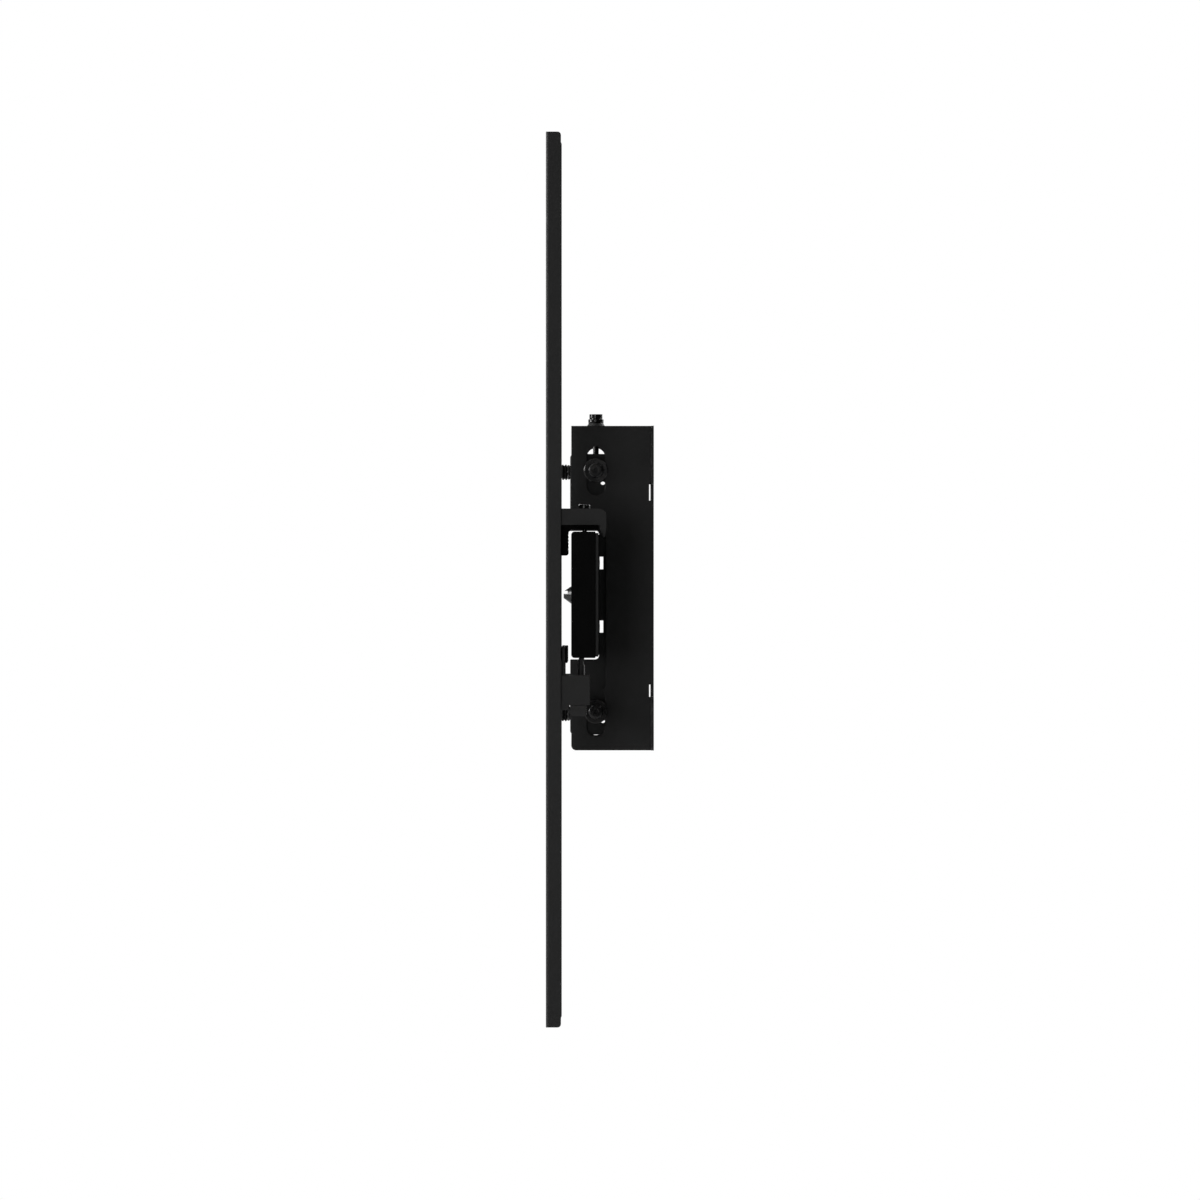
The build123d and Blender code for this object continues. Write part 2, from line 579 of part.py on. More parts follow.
def tilt_bolt():
    bolt = rod_x(PIN_RADIUS, (-TILT_NUT_X[1] - 1, TILT_NUT_X[0]), TILT_Y, TILT_Z)
    return bolt + rod_x(5.5, TILT_NUT_X, TILT_Y, TILT_Z)


def tilt_nut():
    span = (-TILT_NUT_X[1], -TILT_NUT_X[0])
    return hex_x(9.4, span, TILT_Y, TILT_Z) - rod_x(PIN_RADIUS + 0.01, span, TILT_Y, TILT_Z)


def tilt_disc():
    """The friction disc between a yoke lug and its tilt ear."""
    return ring_x(6.0, PIN_RADIUS + 0.1, (LUG_X[1] + 0.05, TILT_EAR_X[0] - 0.05), TILT_Y, TILT_Z)


# ---------------------------------------------------------------- crossbar


def bar_outline():
    """The crossbar's outer section, rounded at its two front bends."""
    outline = rectangle((BAR_FRONT, BAR_REAR), BAR_SPAN)
    for z in BAR_SPAN:
        outline = round_corner(outline, (BAR_FRONT, z), BAR_CORNER)
    return outline


def crossbar():
    """A channel, open at the back."""
    low, high = BAR_SPAN
    inner = rectangle((BAR_FRONT + BAR_WALL, BAR_REAR), (low + BAR_WALL, high - BAR_WALL))
    bar = side_sheet(bar_outline() - inner, (-BAR_HALF_LENGTH, BAR_HALF_LENGTH))
    return bar - rod_y(M6_RADIUS + 0.1, (-70, -55), 0, TILT_Z)


def crossbar_back_plate():
    """A strip that closes the channel from its end to near the middle, where the head folds in."""
    low, high = BAR_SPAN
    face = rectangle((BAR_PLATE_INNER_END, BAR_HALF_LENGTH), (low + 1, high - 1))
    for x in BAR_STUD_XS:
        for z in BAR_STUD_HEIGHTS:
            face -= Pos(x, z) * Circle(M6_RADIUS + 0.02)
    return front_sheet(face, (BAR_REAR, BAR_PLATE_REAR))


def back_plate_stud(x, z):
    """A stepped stud welded in the channel; its thin end is riveted through the back plate."""
    stud = rod_y(BAR_STUD_RADIUS, (BAR_FRONT + BAR_WALL, BAR_REAR), x, z)
    return stud + rod_y(M6_RADIUS, (BAR_REAR, BAR_STUD_END), x, z)


def back_plate_buffer():
    """A rubber strip on the back plate that keeps it off the inner frame when the mount is folded."""
    low, high = BAR_SPAN
    return slab(BUFFER_XS, (BAR_PLATE_REAR, BUFFER_REAR), (low + 2, high - 2))


def end_cap():
    """A moulded cap: a thin plate over the channel's end and a hollow plug inside it."""
    low, high = BAR_SPAN
    end = BAR_HALF_LENGTH
    plug_y = (BAR_FRONT + BAR_WALL + 0.1, BAR_REAR - 0.1)
    plug_z = (low + BAR_WALL + 0.1, high - BAR_WALL - 0.1)
    cap = side_sheet(bar_outline(), (end, end + CAP_THICKNESS))
    cap += slab((end - CAP_PLUG_DEPTH, end), plug_y, plug_z)
    hollow_y = (plug_y[0] + 2, plug_y[1] - 2)
    hollow_z = (plug_z[0] + 2, plug_z[1] - 2)
    return cap - slab((end - CAP_PLUG_DEPTH - 1, end - 2), hollow_y, hollow_z)


def tilt_ear():
    """An ear welded to the inside of the channel's front wall, bored for the tilt bolt."""
    wall_inside = BAR_FRONT + BAR_WALL
    eye = Pos(TILT_Y, TILT_Z) * Circle(LUG_RADIUS)
    root = rectangle((wall_inside, wall_inside + 1), TILT_EAR_ROOT)
    ear = side_sheet(make_hull(eye.edges() + root.edges()), TILT_EAR_X)
    return ear - rod_x(PIN_RADIUS + RUNNING_CLEARANCE, (LUG_X[0], TILT_NUT_X[1]), TILT_Y, TILT_Z)


def front_cone_nut():
    """A slotted conical cap nut at the middle of the crossbar's front face, on a short stud."""
    cone_y = (BAR_FRONT - 5.8, BAR_FRONT)
    middle = sum(cone_y) / 2
    cone = Pos(0, middle, TILT_Z) * Rot(90, 0, 0) * Cone(7.0, 2.6, cone_y[1] - cone_y[0])
    cone -= slab((-8, 8), (cone_y[0] - 1, cone_y[0] + 3.0), CONE_SLOT_SPAN)
    return cone + rod_y(M6_RADIUS, (BAR_FRONT, BAR_FRONT + 4), 0, TILT_Z)


# ---------------------------------------------------------------- television rail, on the +X side


def rail():
    """A channel with rounded bends, pierced for the television's bolts."""
    edge = (RAIL_X - RAIL_HALF_WIDTH, RAIL_X + RAIL_HALF_WIDTH)
    outer = rectangle(edge, (RAIL_FRONT, RAIL_REAR))
    inner = rectangle((edge[0] + RAIL_SHEET, edge[1] - RAIL_SHEET), (RAIL_FRONT + RAIL_SHEET, RAIL_REAR))
    for x in edge:
        outer = round_corner(outer, (x, RAIL_FRONT), RAIL_BEND)
    body = flat_sheet(outer - inner, RAIL_SPAN)
    holes = [Pos(RAIL_X, RAIL_MIDDLE + z) * Circle(VESA_HOLE_RADIUS) for z in VESA_OFFSETS]
    holes += [Pos(RAIL_X, RAIL_MIDDLE + z) * SlotOverall(50, 6.6, rotation=90) for z in RAIL_SLOT_OFFSETS]
    for hole in holes:
        body -= front_sheet(hole, (RAIL_FRONT - 1, RAIL_FRONT + RAIL_SHEET + 1))
    for z in RAIL_SPAN:
        ends = [e for e in body.edges().filter_by(Axis.X) if abs(e.center().Z - z) < 0.01]
        rear = [e for e in ends if abs(e.center().Y - RAIL_REAR) < 0.01]
        body = fillet(rear, 2.5)
    return body


def hook_bracket():
    """A folded hook: two cheeks, and a top and back that wrap over the crossbar."""
    low, high = HOOK_SPAN
    inside = -39.3
    points = [(BRACKET_ROOT, high), (HOOK_BACK, high), (HOOK_BACK, 43.0), (-35.6, 37.2)]
    points += [(-37.2, 37.2), (inside, 43.0), (inside, low), (BRACKET_ROOT, low)]
    profile = make_face(Polyline(*points, close=True))
    profile = round_corner(profile, (HOOK_BACK, high), HOOK_CORNER)
    hollow = rectangle((-90, HOOK_BACK - BRACKET_SHEET), (20, high - BRACKET_SHEET))
    inner_corner = (HOOK_BACK - BRACKET_SHEET, high - BRACKET_SHEET)
    hollow = round_corner(hollow, inner_corner, HOOK_CORNER - BRACKET_SHEET)
    hook = side_sheet(profile - hollow, BRACKET_WIDTH)
    for cheek in CHEEKS:
        hook += side_sheet(profile, cheek)
    return hook - rod_z(2.1, (50, 60), RAIL_X, LEVEL_SCREW_Y)


def hook_pad():
    """The L-shaped plastic glide between the rail and the crossbar's front and top faces."""
    low, top = 24.3, HOOK_SPAN[0] + 1.2
    face = rectangle((BRACKET_ROOT, PAD_BACK), (low, top))
    face = round_corner(face, (PAD_BACK, low), 2.0)
    face += rectangle((PAD_BACK - 1, PAD_LEDGE_END), (BAR_SPAN[1] + PAD_LEDGE_GAP, top))
    glide = side_sheet(face, (RAIL_X - 10.5, RAIL_X + 10.5))
    return glide - rod_z(2.2, (BAR_SPAN[1], top + 1), RAIL_X, LEVEL_SCREW_Y)


def level_screw():
    """The screw that carries the rail on the crossbar's top, with its nut."""
    top = HOOK_SPAN[1]
    screw = rod_z(2.0, (46.0, top), RAIL_X, LEVEL_SCREW_Y)
    screw += rod_z(1.6, (BAR_SPAN[1] + 0.05, 46.0), RAIL_X, LEVEL_SCREW_Y)
    head = rod_z(4.35, (top, top + 2.9), RAIL_X, LEVEL_SCREW_Y)
    head = fillet(head.edges().filter_by(GeomType.CIRCLE).sort_by(Axis.Z)[-1], 0.8)
    return screw + head - hex_z(3.0, (top + 1.2, top + 4), RAIL_X, LEVEL_SCREW_Y)


def level_nut():
    span = (HOOK_SPAN[1] - BRACKET_SHEET - 3.2, HOOK_SPAN[1] - BRACKET_SHEET)
    return hex_z(7.0, span, RAIL_X, LEVEL_SCREW_Y) - rod_z(2.02, span, RAIL_X, LEVEL_SCREW_Y)


def lock_bracket():
    """The rail's lower bracket: two cheeks, a floor, a back and an upright tab."""
    low, high = LOCK_BRACKET_SPAN
    front, back = LOCK_BRACKET_Y
    points = [(BRACKET_ROOT, high), (back, high), (back, low), (front, low)]
    points += [(front, low - 3.7), (BRACKET_ROOT, low - 3.7)]
    profile = make_face(Polyline(*points, close=True))
    bracket = slab(BRACKET_WIDTH, (front, back), (low, low + BRACKET_SHEET))
    bracket += slab(BRACKET_WIDTH, (back - BRACKET_SHEET, back), (low, high))
    for cheek in CHEEKS:
        bracket += side_sheet(profile, cheek)
    bracket += slab(BRACKET_WIDTH, LOWER_TAB_Y, (high - 8, high))
    bracket += slab((RAIL_X - 9, RAIL_X + 9), LOWER_TAB_Y, (high, -42.3))
    bracket -= rod_y(M6_RADIUS + 0.05, (-70, -60), RAIL_X, LOWER_PAD_Z)
    return bracket - rod_z(LOCK_PIN_RADIUS + 0.1, (-95, -80), RAIL_X, LOCK_Y)


def lower_pad():
    """The adjustable foot that bears on the crossbar's front: stud, rubber disc and nut."""
    pad = rod_y(M6_RADIUS, (-73.0, LOWER_TAB_Y[1]), RAIL_X, LOWER_PAD_Z)
    disc = rod_y(6.15, (LOWER_TAB_Y[1], -62.9), RAIL_X, LOWER_PAD_Z)
    disc = fillet(disc.edges().filter_by(GeomType.CIRCLE).sort_by(Axis.Y)[-1], 0.6)
    return pad + disc + hex_y(9.5, (-70.4, LOWER_TAB_Y[0]), RAIL_X, LOWER_PAD_Z)


def lock_tab():
    """The moulded pull tab under the lower bracket."""
    face = rectangle((-61.6, -49.5), LOCK_TAB_Z)
    front_low = min(face.vertices(), key=lambda v: v.X + v.Y)
    face = chamfer(front_low, 2.4)
    front_high = min(face.vertices(), key=lambda v: v.X - v.Y)
    face = chamfer(front_high, 1.6)
    tab = side_sheet(face, (RAIL_X - 11, RAIL_X + 11))
    return tab - rod_z(LOCK_PIN_RADIUS + 0.01, (-91, -80), RAIL_X, LOCK_Y)


def lock_pin():
    """The latch pin: its thin tip stands just under the crossbar."""
    pin = rod_z(LOCK_PIN_RADIUS, (-90.9, -56.0), RAIL_X, LOCK_Y)
    pin += rod_z(3.6, LOCK_COLLAR_SPAN, RAIL_X, LOCK_Y)
    return pin + rod_z(1.9, (-56.0, BAR_SPAN[0] - 0.3), RAIL_X, LOCK_Y)


def lock_spring():
    """The compression spring between the lower bracket's floor and the pin's collar."""
    wire = 0.35
    turns = 6
    low = LOCK_BRACKET_SPAN[0] + BRACKET_SHEET + 0.5
    high = LOCK_COLLAR_SPAN[0] - 0.5
    coil = Helix((high - low) / turns, high - low, 3.1)
    wire_face = Plane(origin=coil @ 0, z_dir=coil % 0) * Circle(wire)
    return Pos(RAIL_X, LOCK_Y, low) * sweep(wire_face, coil, is_frenet=True)


# ---------------------------------------------------------------- writing the nodes


def as_list(shape):
    return list(shape) if isinstance(shape, (list, tuple)) else [shape]


def write(name, shapes):
    """Write one node: every solid that it is made of."""
    solids = [solid for shape in as_list(shapes) for solid in shape.solids()]
    node = solids[0] if len(solids) == 1 else Compound(children=solids)
    export_step(node, f"parts/{name}.step")


def write_pair(name, shapes):
    """Write the +X node as right and its mirror image as left."""
    write(f"{name}_right", shapes)
    write(f"{name}_left", [mirrored(shape) for shape in as_list(shapes)])


def both(shapes):
    """The +X shapes and their mirror images."""
    return shapes + [mirrored(shape) for shape in shapes]


def four(make, heights):
    """One solid at each height, on both sides."""
    return [solid for z in heights for solid in both_sides(make(z))]


def write_wall_box():
    write("wall_plate", wall_plate())
    write_pair("box_side", box_side())
    write("box_top", box_shelf((BOX_HALF_HEIGHT - SHEET, BOX_HALF_HEIGHT), -BOX_DEPTH))
    write("box_bottom", box_shelf((-BOX_HALF_HEIGHT, -BOX_HALF_HEIGHT + SHEET), -BOX_DEPTH + 4))
    write("height_screws", both_sides(height_screw()))
    write("height_screw_seats", both_sides(height_bushing()) + both_sides(height_clip()))


def write_inner_frame():
    bottom, top = FRAME_SPAN
    write_pair("frame_side", frame_side())
    write("frame_back", frame_back())
    write("frame_top", frame_shelf((top - BACK_SHEET, top), True))
    write("frame_bottom", frame_shelf((bottom, bottom + BACK_SHEET), False))
    write("clamp_bolts", four(clamp_bolt, CLAMP_HEIGHTS))
    write("clamp_washers", four(clamp_washer, CLAMP_HEIGHTS))
    write("weld_nuts", both_sides(height_nut()) + four(clamp_nut, CLAMP_HEIGHTS))
    bumper_heights = [tab[2] for tab in BUMPER_TABS]
    write("stop_bumpers", four(bumper, bumper_heights) + four(bumper_nut, bumper_heights))
    base = arm_base()
    write("arm_base_upper", base)
    write("arm_base_lower", mirror(base, Plane.XY))
    write("arm_base_bolts", [base_bolt(x, z) for x in BASE_BOLT_X for z in (-BASE_BOLT_Z, BASE_BOLT_Z)])
    pin_and_clip = [pivot_pin(PIVOT_X, WALL_PIVOT_Y), pivot_clip(PIVOT_X, WALL_PIVOT_Y)]
    write("wall_pivot_pins", both(pin_and_clip))
    write("frame_washers", both(pivot_washers(PIVOT_X, WALL_PIVOT_Y)) + four(clamp_shim, CLAMP_HEIGHTS))


def write_arms():
    write_pair("inner_arm", inner_arm())
    write("outer_arm_right", outer_arm(PIN_RADIUS + RUNNING_CLEARANCE))
    write("outer_arm_left", [mirrored(solid) for solid in outer_arm(PIN_RADIUS + OPEN_PIVOT_CLEARANCE)])
    write_pair("elbow_pin", [elbow_pin(), *elbow_washers()])
    write_pair("elbow_caps", elbow_caps())


def write_head():
    write("head_bracket", head_bracket())
    pin_and_clip = [pivot_pin(PIVOT_X, HEAD_PIVOT_Y), pivot_clip(PIVOT_X, HEAD_PIVOT_Y)]
    write("head_pivot_pins", both(pin_and_clip))
    write("head_washers", both(pivot_washers(PIVOT_X, HEAD_PIVOT_Y)) + swivel_washers())
    write("swivel_pin", [swivel_pin(), swivel_nut()])
    write("swivel_spacers", swivel_spacers())
    write("swivel_yoke", swivel_yoke())
    write("tilt_bolt", [tilt_bolt(), tilt_nut()])
    write("tilt_discs", both_sides(tilt_disc()))


def write_crossbar():
    write("crossbar", crossbar())
    write("crossbar_back_plates", both_sides(crossbar_back_plate()))
    write("back_plate_buffers", both_sides(back_plate_buffer()))
    write("crossbar_end_caps", both_sides(end_cap()))
    write("back_plate_studs", both([back_plate_stud(x, z) for x in BAR_STUD_XS for z in BAR_STUD_HEIGHTS]))
    write("tilt_ears", both_sides(tilt_ear()))
    write("front_cone_nut", front_cone_nut())


def write_rails():
    write_pair("tv_rail", rail())
    write_pair("hook_bracket", hook_bracket())
    write_pair("level_screw", [level_screw(), level_nut()])
    write_pair("lock_bracket", lock_bracket())
    write_pair("rail_pads", [hook_pad(), lower_pad()])
    write_pair("lock_tab", lock_tab())
    write_pair("lock_pin", lock_pin())
    write_pair("lock_spring", lock_spring())


os.makedirs("parts", exist_ok=True)
write_wall_box()
write_inner_frame()
write_arms()
write_head()
write_crossbar()
write_rails()
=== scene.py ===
import json
import math

import bpy
import numpy as np
from mathutils import Matrix, Vector


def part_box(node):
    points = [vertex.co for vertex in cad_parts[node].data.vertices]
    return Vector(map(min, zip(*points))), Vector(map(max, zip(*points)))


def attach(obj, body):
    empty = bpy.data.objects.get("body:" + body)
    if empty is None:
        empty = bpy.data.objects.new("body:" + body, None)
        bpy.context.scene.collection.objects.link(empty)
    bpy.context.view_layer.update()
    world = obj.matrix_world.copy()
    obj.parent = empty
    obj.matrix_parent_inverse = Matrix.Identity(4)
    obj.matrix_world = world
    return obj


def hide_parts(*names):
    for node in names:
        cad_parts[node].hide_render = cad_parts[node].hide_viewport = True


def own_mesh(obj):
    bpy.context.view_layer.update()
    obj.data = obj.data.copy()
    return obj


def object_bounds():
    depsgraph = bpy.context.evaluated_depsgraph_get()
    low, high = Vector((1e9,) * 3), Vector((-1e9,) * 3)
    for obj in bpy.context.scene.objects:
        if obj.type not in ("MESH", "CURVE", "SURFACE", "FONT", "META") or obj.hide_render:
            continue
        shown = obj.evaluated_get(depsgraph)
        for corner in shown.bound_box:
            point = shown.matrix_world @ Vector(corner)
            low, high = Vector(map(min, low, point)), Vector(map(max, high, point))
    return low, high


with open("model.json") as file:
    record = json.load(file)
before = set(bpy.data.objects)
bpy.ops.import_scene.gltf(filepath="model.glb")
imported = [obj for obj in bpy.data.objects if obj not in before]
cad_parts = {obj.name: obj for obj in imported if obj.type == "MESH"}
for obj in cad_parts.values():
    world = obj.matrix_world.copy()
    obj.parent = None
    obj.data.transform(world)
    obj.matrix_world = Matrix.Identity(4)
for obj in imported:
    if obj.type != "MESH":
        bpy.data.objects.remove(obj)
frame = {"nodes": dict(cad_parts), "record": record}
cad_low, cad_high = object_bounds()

MM = 0.001
SIDES = ("left", "right")
OUTWARD = (("left", -1), ("right", 1))

# Screws and threads
M6_RADIUS = 3.0 * MM
M6_CORE = 2.62 * MM
M6_PITCH = 1.0 * MM
M6_RIDGE = 0.38 * MM
M4_PITCH = 0.7 * MM
HEIGHT_SCREW_RADIUS = 2.1 * MM
LEVEL_SCREW_RADIUS = 2.0 * MM
FREE_END = 1.9 * MM

# Sheet and plate thicknesses
RAIL_SHEET = 2.0 * MM
BRACKET_SHEET = 2.5 * MM
BAR_WALL = 2.5 * MM
BASE_FOOT = 2.5 * MM
CLEVIS_PLATE = 4 * MM
HEAD_WEB = 2.0 * MM

# Gaps and reaches
HEIGHT_TRAVEL_ROOM = 10.4 * MM
HUB_TO_YOKE_PLATE = 5.1 * MM
YOKE_PLATE = 3.2 * MM
GLIDE_STANDOFF = 2.35 * MM
GLIDE_LEDGE_GAP = 1.5 * MM
FOOT_DISC = 1.9 * MM
LEVEL_DOG_LENGTH = 4.9 * MM
SPRING_WIRE = 0.36 * MM

# Which way a profile's height runs: the rotation that carries local Z to that direction.
TURN = {
    "+X": Matrix.Rotation(math.pi / 2, 4, "Y"),
    "-X": Matrix.Rotation(-math.pi / 2, 4, "Y"),
    "+Y": Matrix.Rotation(-math.pi / 2, 4, "X"),
    "-Y": Matrix.Rotation(math.pi / 2, 4, "X"),
    "+Z": Matrix.Identity(4),
}


# ---------------------------------------------------------------- materials


class Nodes:
    """A small helper for building a node tree in a few lines."""

    def __init__(self, tree):
        self.tree = tree
        tree.nodes.clear()

    def add(self, kind, inputs=None, **settings):
        node = self.tree.nodes.new(kind)
        for key, value in settings.items():
            setattr(node, key, value)
        for key, value in (inputs or {}).items():
            if isinstance(value, bpy.types.NodeSocket):
                self.tree.links.new(value, node.inputs[key])
            else:
                node.inputs[key].default_value = value
        return node


def grey(value, warmth=0.0):
    """A near-neutral colour; warmth shifts it slightly from blue towards red."""
    return (value * (1 + warmth), value, value * (1 - warmth), 1.0)


def noise(nodes, place, scale, detail=2.0, roughness=0.5):
    found = nodes.add("ShaderNodeTexNoise", {
        "Vector": place, "Scale": scale, "Detail": detail, "Roughness": roughness})
    return found.outputs["Fac"]


def remap(nodes, value, low, high, to_low, to_high):
    found = nodes.add("ShaderNodeMapRange", {
        "Value": value, "From Min": low, "From Max": high, "To Min": to_low, "To Max": to_high})
    return found.outputs["Result"]


def blend_colour(nodes, factor, first, second):
    found = nodes.add("ShaderNodeMix", data_type="RGBA")
    links = nodes.tree.links
    for socket, value in ((found.inputs[0], factor), (found.inputs[6], first), (found.inputs[7], second)):
        if isinstance(value, bpy.types.NodeSocket):
            links.new(value, socket)
        else:
            socket.default_value = value
    return found.outputs[2]


def edge_mask(nodes, bevel):
    """1 on sharp edges and 0 on flat faces, from how far the bevelled normal turns away."""
    geometry = nodes.add("ShaderNodeNewGeometry")
    normals = {0: bevel, 1: geometry.outputs["Normal"]}
    dot = nodes.add("ShaderNodeVectorMath", normals, operation="DOT_PRODUCT")
    return remap(nodes, dot.outputs["Value"], 0.995, 0.86, 0.0, 1.0)


def coated_steel(name, tone, roughness, grain=1500.0, depth=0.10, specular=0.24, edge_highlight_gain=2.6):
    """Powder coat: a fine orange-peel skin, cloudy tone and roughness, and edges painted a little brighter in
    patches as a painted highlight.
    """
    material = bpy.data.materials.new(name)
    material.use_nodes = True
    nodes = Nodes(material.node_tree)
    place = nodes.add("ShaderNodeTexCoord").outputs["Object"]
    bevel = nodes.add("ShaderNodeBevel", {"Radius": 0.45 * MM}, samples=6).outputs["Normal"]
    cloud = noise(nodes, place, 38.0, 5.0, 0.6)
    speck = noise(nodes, place, grain * 1.7, 1.0, 0.5)
    peel = noise(nodes, place, grain, 3.0, 0.55)
    edges = edge_mask(nodes, bevel)
    # Painted highlight: sharp edges are lightened in patches in the colour, standing in for light catching
    # the edges.
    highlight_patches = remap(nodes, noise(nodes, place, 260.0, 4.0, 0.7), 0.35, 0.65, 0.35, 1.0)
    painted_edge_highlight = nodes.add("ShaderNodeMath", {0: edges, 1: highlight_patches}, operation="MULTIPLY").outputs["Value"]
    cloudy = remap(nodes, cloud, 0.3, 0.7, 0.0, 1.0)
    skin = blend_colour(nodes, cloudy, grey(tone * 0.86, 0.02), grey(tone * 1.14, -0.02))
    skin = blend_colour(nodes, remap(nodes, speck, 0.58, 0.75, 0.0, 0.5), skin, grey(tone * 1.8))
    skin = blend_colour(nodes, painted_edge_highlight, skin, grey(tone * edge_highlight_gain, 0.03))
    bump = nodes.add("ShaderNodeBump", {
        "Strength": depth, "Distance": 0.12 * MM, "Height": peel, "Normal": bevel}).outputs["Normal"]
    gloss = remap(nodes, cloud, 0.3, 0.7, roughness - 0.04, roughness + 0.05)
    shader = nodes.add("ShaderNodeBsdfPrincipled", {
        "Base Color": skin, "Roughness": gloss, "Normal": bump, "Specular IOR Level": specular, "IOR": 1.5})
    nodes.add("ShaderNodeOutputMaterial", {"Surface": shader.outputs["BSDF"]})
    return material


def oxide_steel(name, tone, roughness, metallic=0.85):
    """Oiled black-oxide steel: very fine turning lines, a blotchy film and edges painted bright as a painted
    highlight.
    """
    material = bpy.data.materials.new(name)
    material.use_nodes = True
    nodes = Nodes(material.node_tree)
    place = nodes.add("ShaderNodeTexCoord").outputs["Object"]
    bevel = nodes.add("ShaderNodeBevel", {"Radius": 0.35 * MM}, samples=6).outputs["Normal"]
    film = noise(nodes, place, 90.0, 2.0, 0.5)
    lines = noise(nodes, place, 3200.0, 2.0, 0.5)
    # Painted highlight: sharp edges are lightened in the colour, standing in for light catching the edges.
    painted_edge_highlight = edge_mask(nodes, bevel)
    blotch = remap(nodes, film, 0.35, 0.65, 0.0, 1.0)
    skin = blend_colour(nodes, blotch, grey(tone * 0.75, -0.03), grey(tone * 1.25, 0.03))
    skin = blend_colour(nodes, painted_edge_highlight, skin, grey(tone * 3.0, 0.02))
    bump = nodes.add("ShaderNodeBump", {
        "Strength": 0.04, "Distance": 0.03 * MM, "Height": lines, "Normal": bevel}).outputs["Normal"]
    gloss = remap(nodes, film, 0.3, 0.7, roughness - 0.06, roughness + 0.08)
    shader = nodes.add("ShaderNodeBsdfPrincipled", {
        "Base Color": skin, "Roughness": gloss, "Normal": bump, "Metallic": metallic})
    nodes.add("ShaderNodeOutputMaterial", {"Surface": shader.outputs["BSDF"]})
    return material


def moulded(name, tone, roughness, specular, grain=900.0, depth=0.25):
    """Moulded plastic or rubber: a spark-eroded texture of tiny pits and softly rounded edges."""
    material = bpy.data.materials.new(name)
    material.use_nodes = True
    nodes = Nodes(material.node_tree)
    place = nodes.add("ShaderNodeTexCoord").outputs["Object"]
    bevel = nodes.add("ShaderNodeBevel", {"Radius": 0.5 * MM}, samples=6).outputs["Normal"]
    cells = nodes.add("ShaderNodeTexVoronoi", {"Vector": place, "Scale": grain}, feature="SMOOTH_F1")
    pits = cells.outputs["Distance"]
    cloud = noise(nodes, place, 60.0, 3.0, 0.55)
    cloudy = remap(nodes, cloud, 0.3, 0.7, 0.0, 1.0)
    skin = blend_colour(nodes, cloudy, grey(tone * 0.85), grey(tone * 1.2, 0.01))
    # Painted highlight: sharp edges are lightened in the colour, standing in for light catching the edges.
    skin = blend_colour(nodes, edge_mask(nodes, bevel), skin, grey(tone * 1.7))
    bump = nodes.add("ShaderNodeBump", {
        "Strength": depth, "Distance": 0.10 * MM, "Height": pits, "Normal": bevel}).outputs["Normal"]
    gloss = remap(nodes, pits, 0.1, 0.6, roughness - 0.05, roughness + 0.06)
    shader = nodes.add("ShaderNodeBsdfPrincipled", {
        "Base Color": skin, "Roughness": gloss, "Normal": bump, "Specular IOR Level": specular})
    nodes.add("ShaderNodeOutputMaterial", {"Surface": shader.outputs["BSDF"]})
    return material


def spring_wire(name):
    """Drawn spring wire: the same oily film on brighter, bare metal."""
    return oxide_steel(name, 0.22, 0.30, metallic=1.0)


MATERIALS = {
    "box_coat": coated_steel("box_coat", 0.0085, 0.48),
    "frame_coat": coated_steel("frame_coat", 0.0075, 0.52),
    "arm_coat": coated_steel("arm_coat", 0.0095, 0.46),
    "bar_coat": coated_steel("bar_coat", 0.0085, 0.44),
    "rail_coat": coated_steel("rail_coat", 0.0105, 0.42),
    "black_oxide_steel": oxide_steel("black_oxide_steel", 0.016, 0.26, metallic=0.6),
    "black_nylon": moulded("black_nylon", 0.012, 0.55, 0.4),
    "black_plastic": moulded("black_plastic", 0.010, 0.50, 0.35),
    "black_rubber": moulded("black_rubber", 0.0035, 0.75, 0.10, grain=600.0),
    "spring_steel": spring_wire("spring_steel"),
}
MATT_CAP = moulded("matt_cap", 0.0030, 0.85, 0.05, grain=1100.0)
# Painted shade: a matt, darker copy of the oxide steel for the latch pins, standing in for the shade below
# the crossbar.
SHADED_MATT_PIN = oxide_steel("shaded_matt_pin", 0.006, 0.60, metallic=0.1)
PAD_PLASTIC = moulded("pad_plastic", 0.0025, 0.80, 0.06)


def dress_cad_nodes():
    """Give every CAD node its slot's finish; the crossbar's end caps are duller, and the latch pins are matt
    with a darker tone that is painted shade.
    """
    for part in frame["record"]["subparts"]:
        node = frame["nodes"][part["node"]]
        material = MATERIALS[part["material_slot"]]
        if part["node"] == "crossbar_end_caps":
            material = MATT_CAP
        # The latch pins' darker tone is painted shade.
        if part["node"].startswith("lock_pin"):
            material = SHADED_MATT_PIN
        for slot in node.material_slots:
            slot.material = material


# ---------------------------------------------------------------- places, read from the frame


def islands(node):
    """The (lowest, highest) corners of each separate solid in a CAD node, in metres."""
    mesh = frame["nodes"][node].data
    points = np.array([v.co for v in mesh.vertices], float)
    _, same = np.unique(np.round(points * 1e6).astype(np.int64), axis=0, return_inverse=True)
    same = same.ravel()
    parent = list(range(same.max() + 1))

    def root(i):
        while parent[i] != i:
            parent[i] = parent[parent[i]]
            i = parent[i]
        return i

    for edge in mesh.edges:
        a, b = root(same[edge.vertices[0]]), root(same[edge.vertices[1]])
        parent[a] = b
    groups = {}
    for index, group in enumerate(same):
        groups.setdefault(root(group), []).append(index)
    boxes = [(Vector(points[g].min(0)), Vector(points[g].max(0))) for g in groups.values()]
    return sorted(boxes, key=lambda b: tuple(round(c, 5) for c in b[0]))


def middle(box):
    return (box[0] + box[1]) / 2


# ---------------------------------------------------------------- mesh pieces


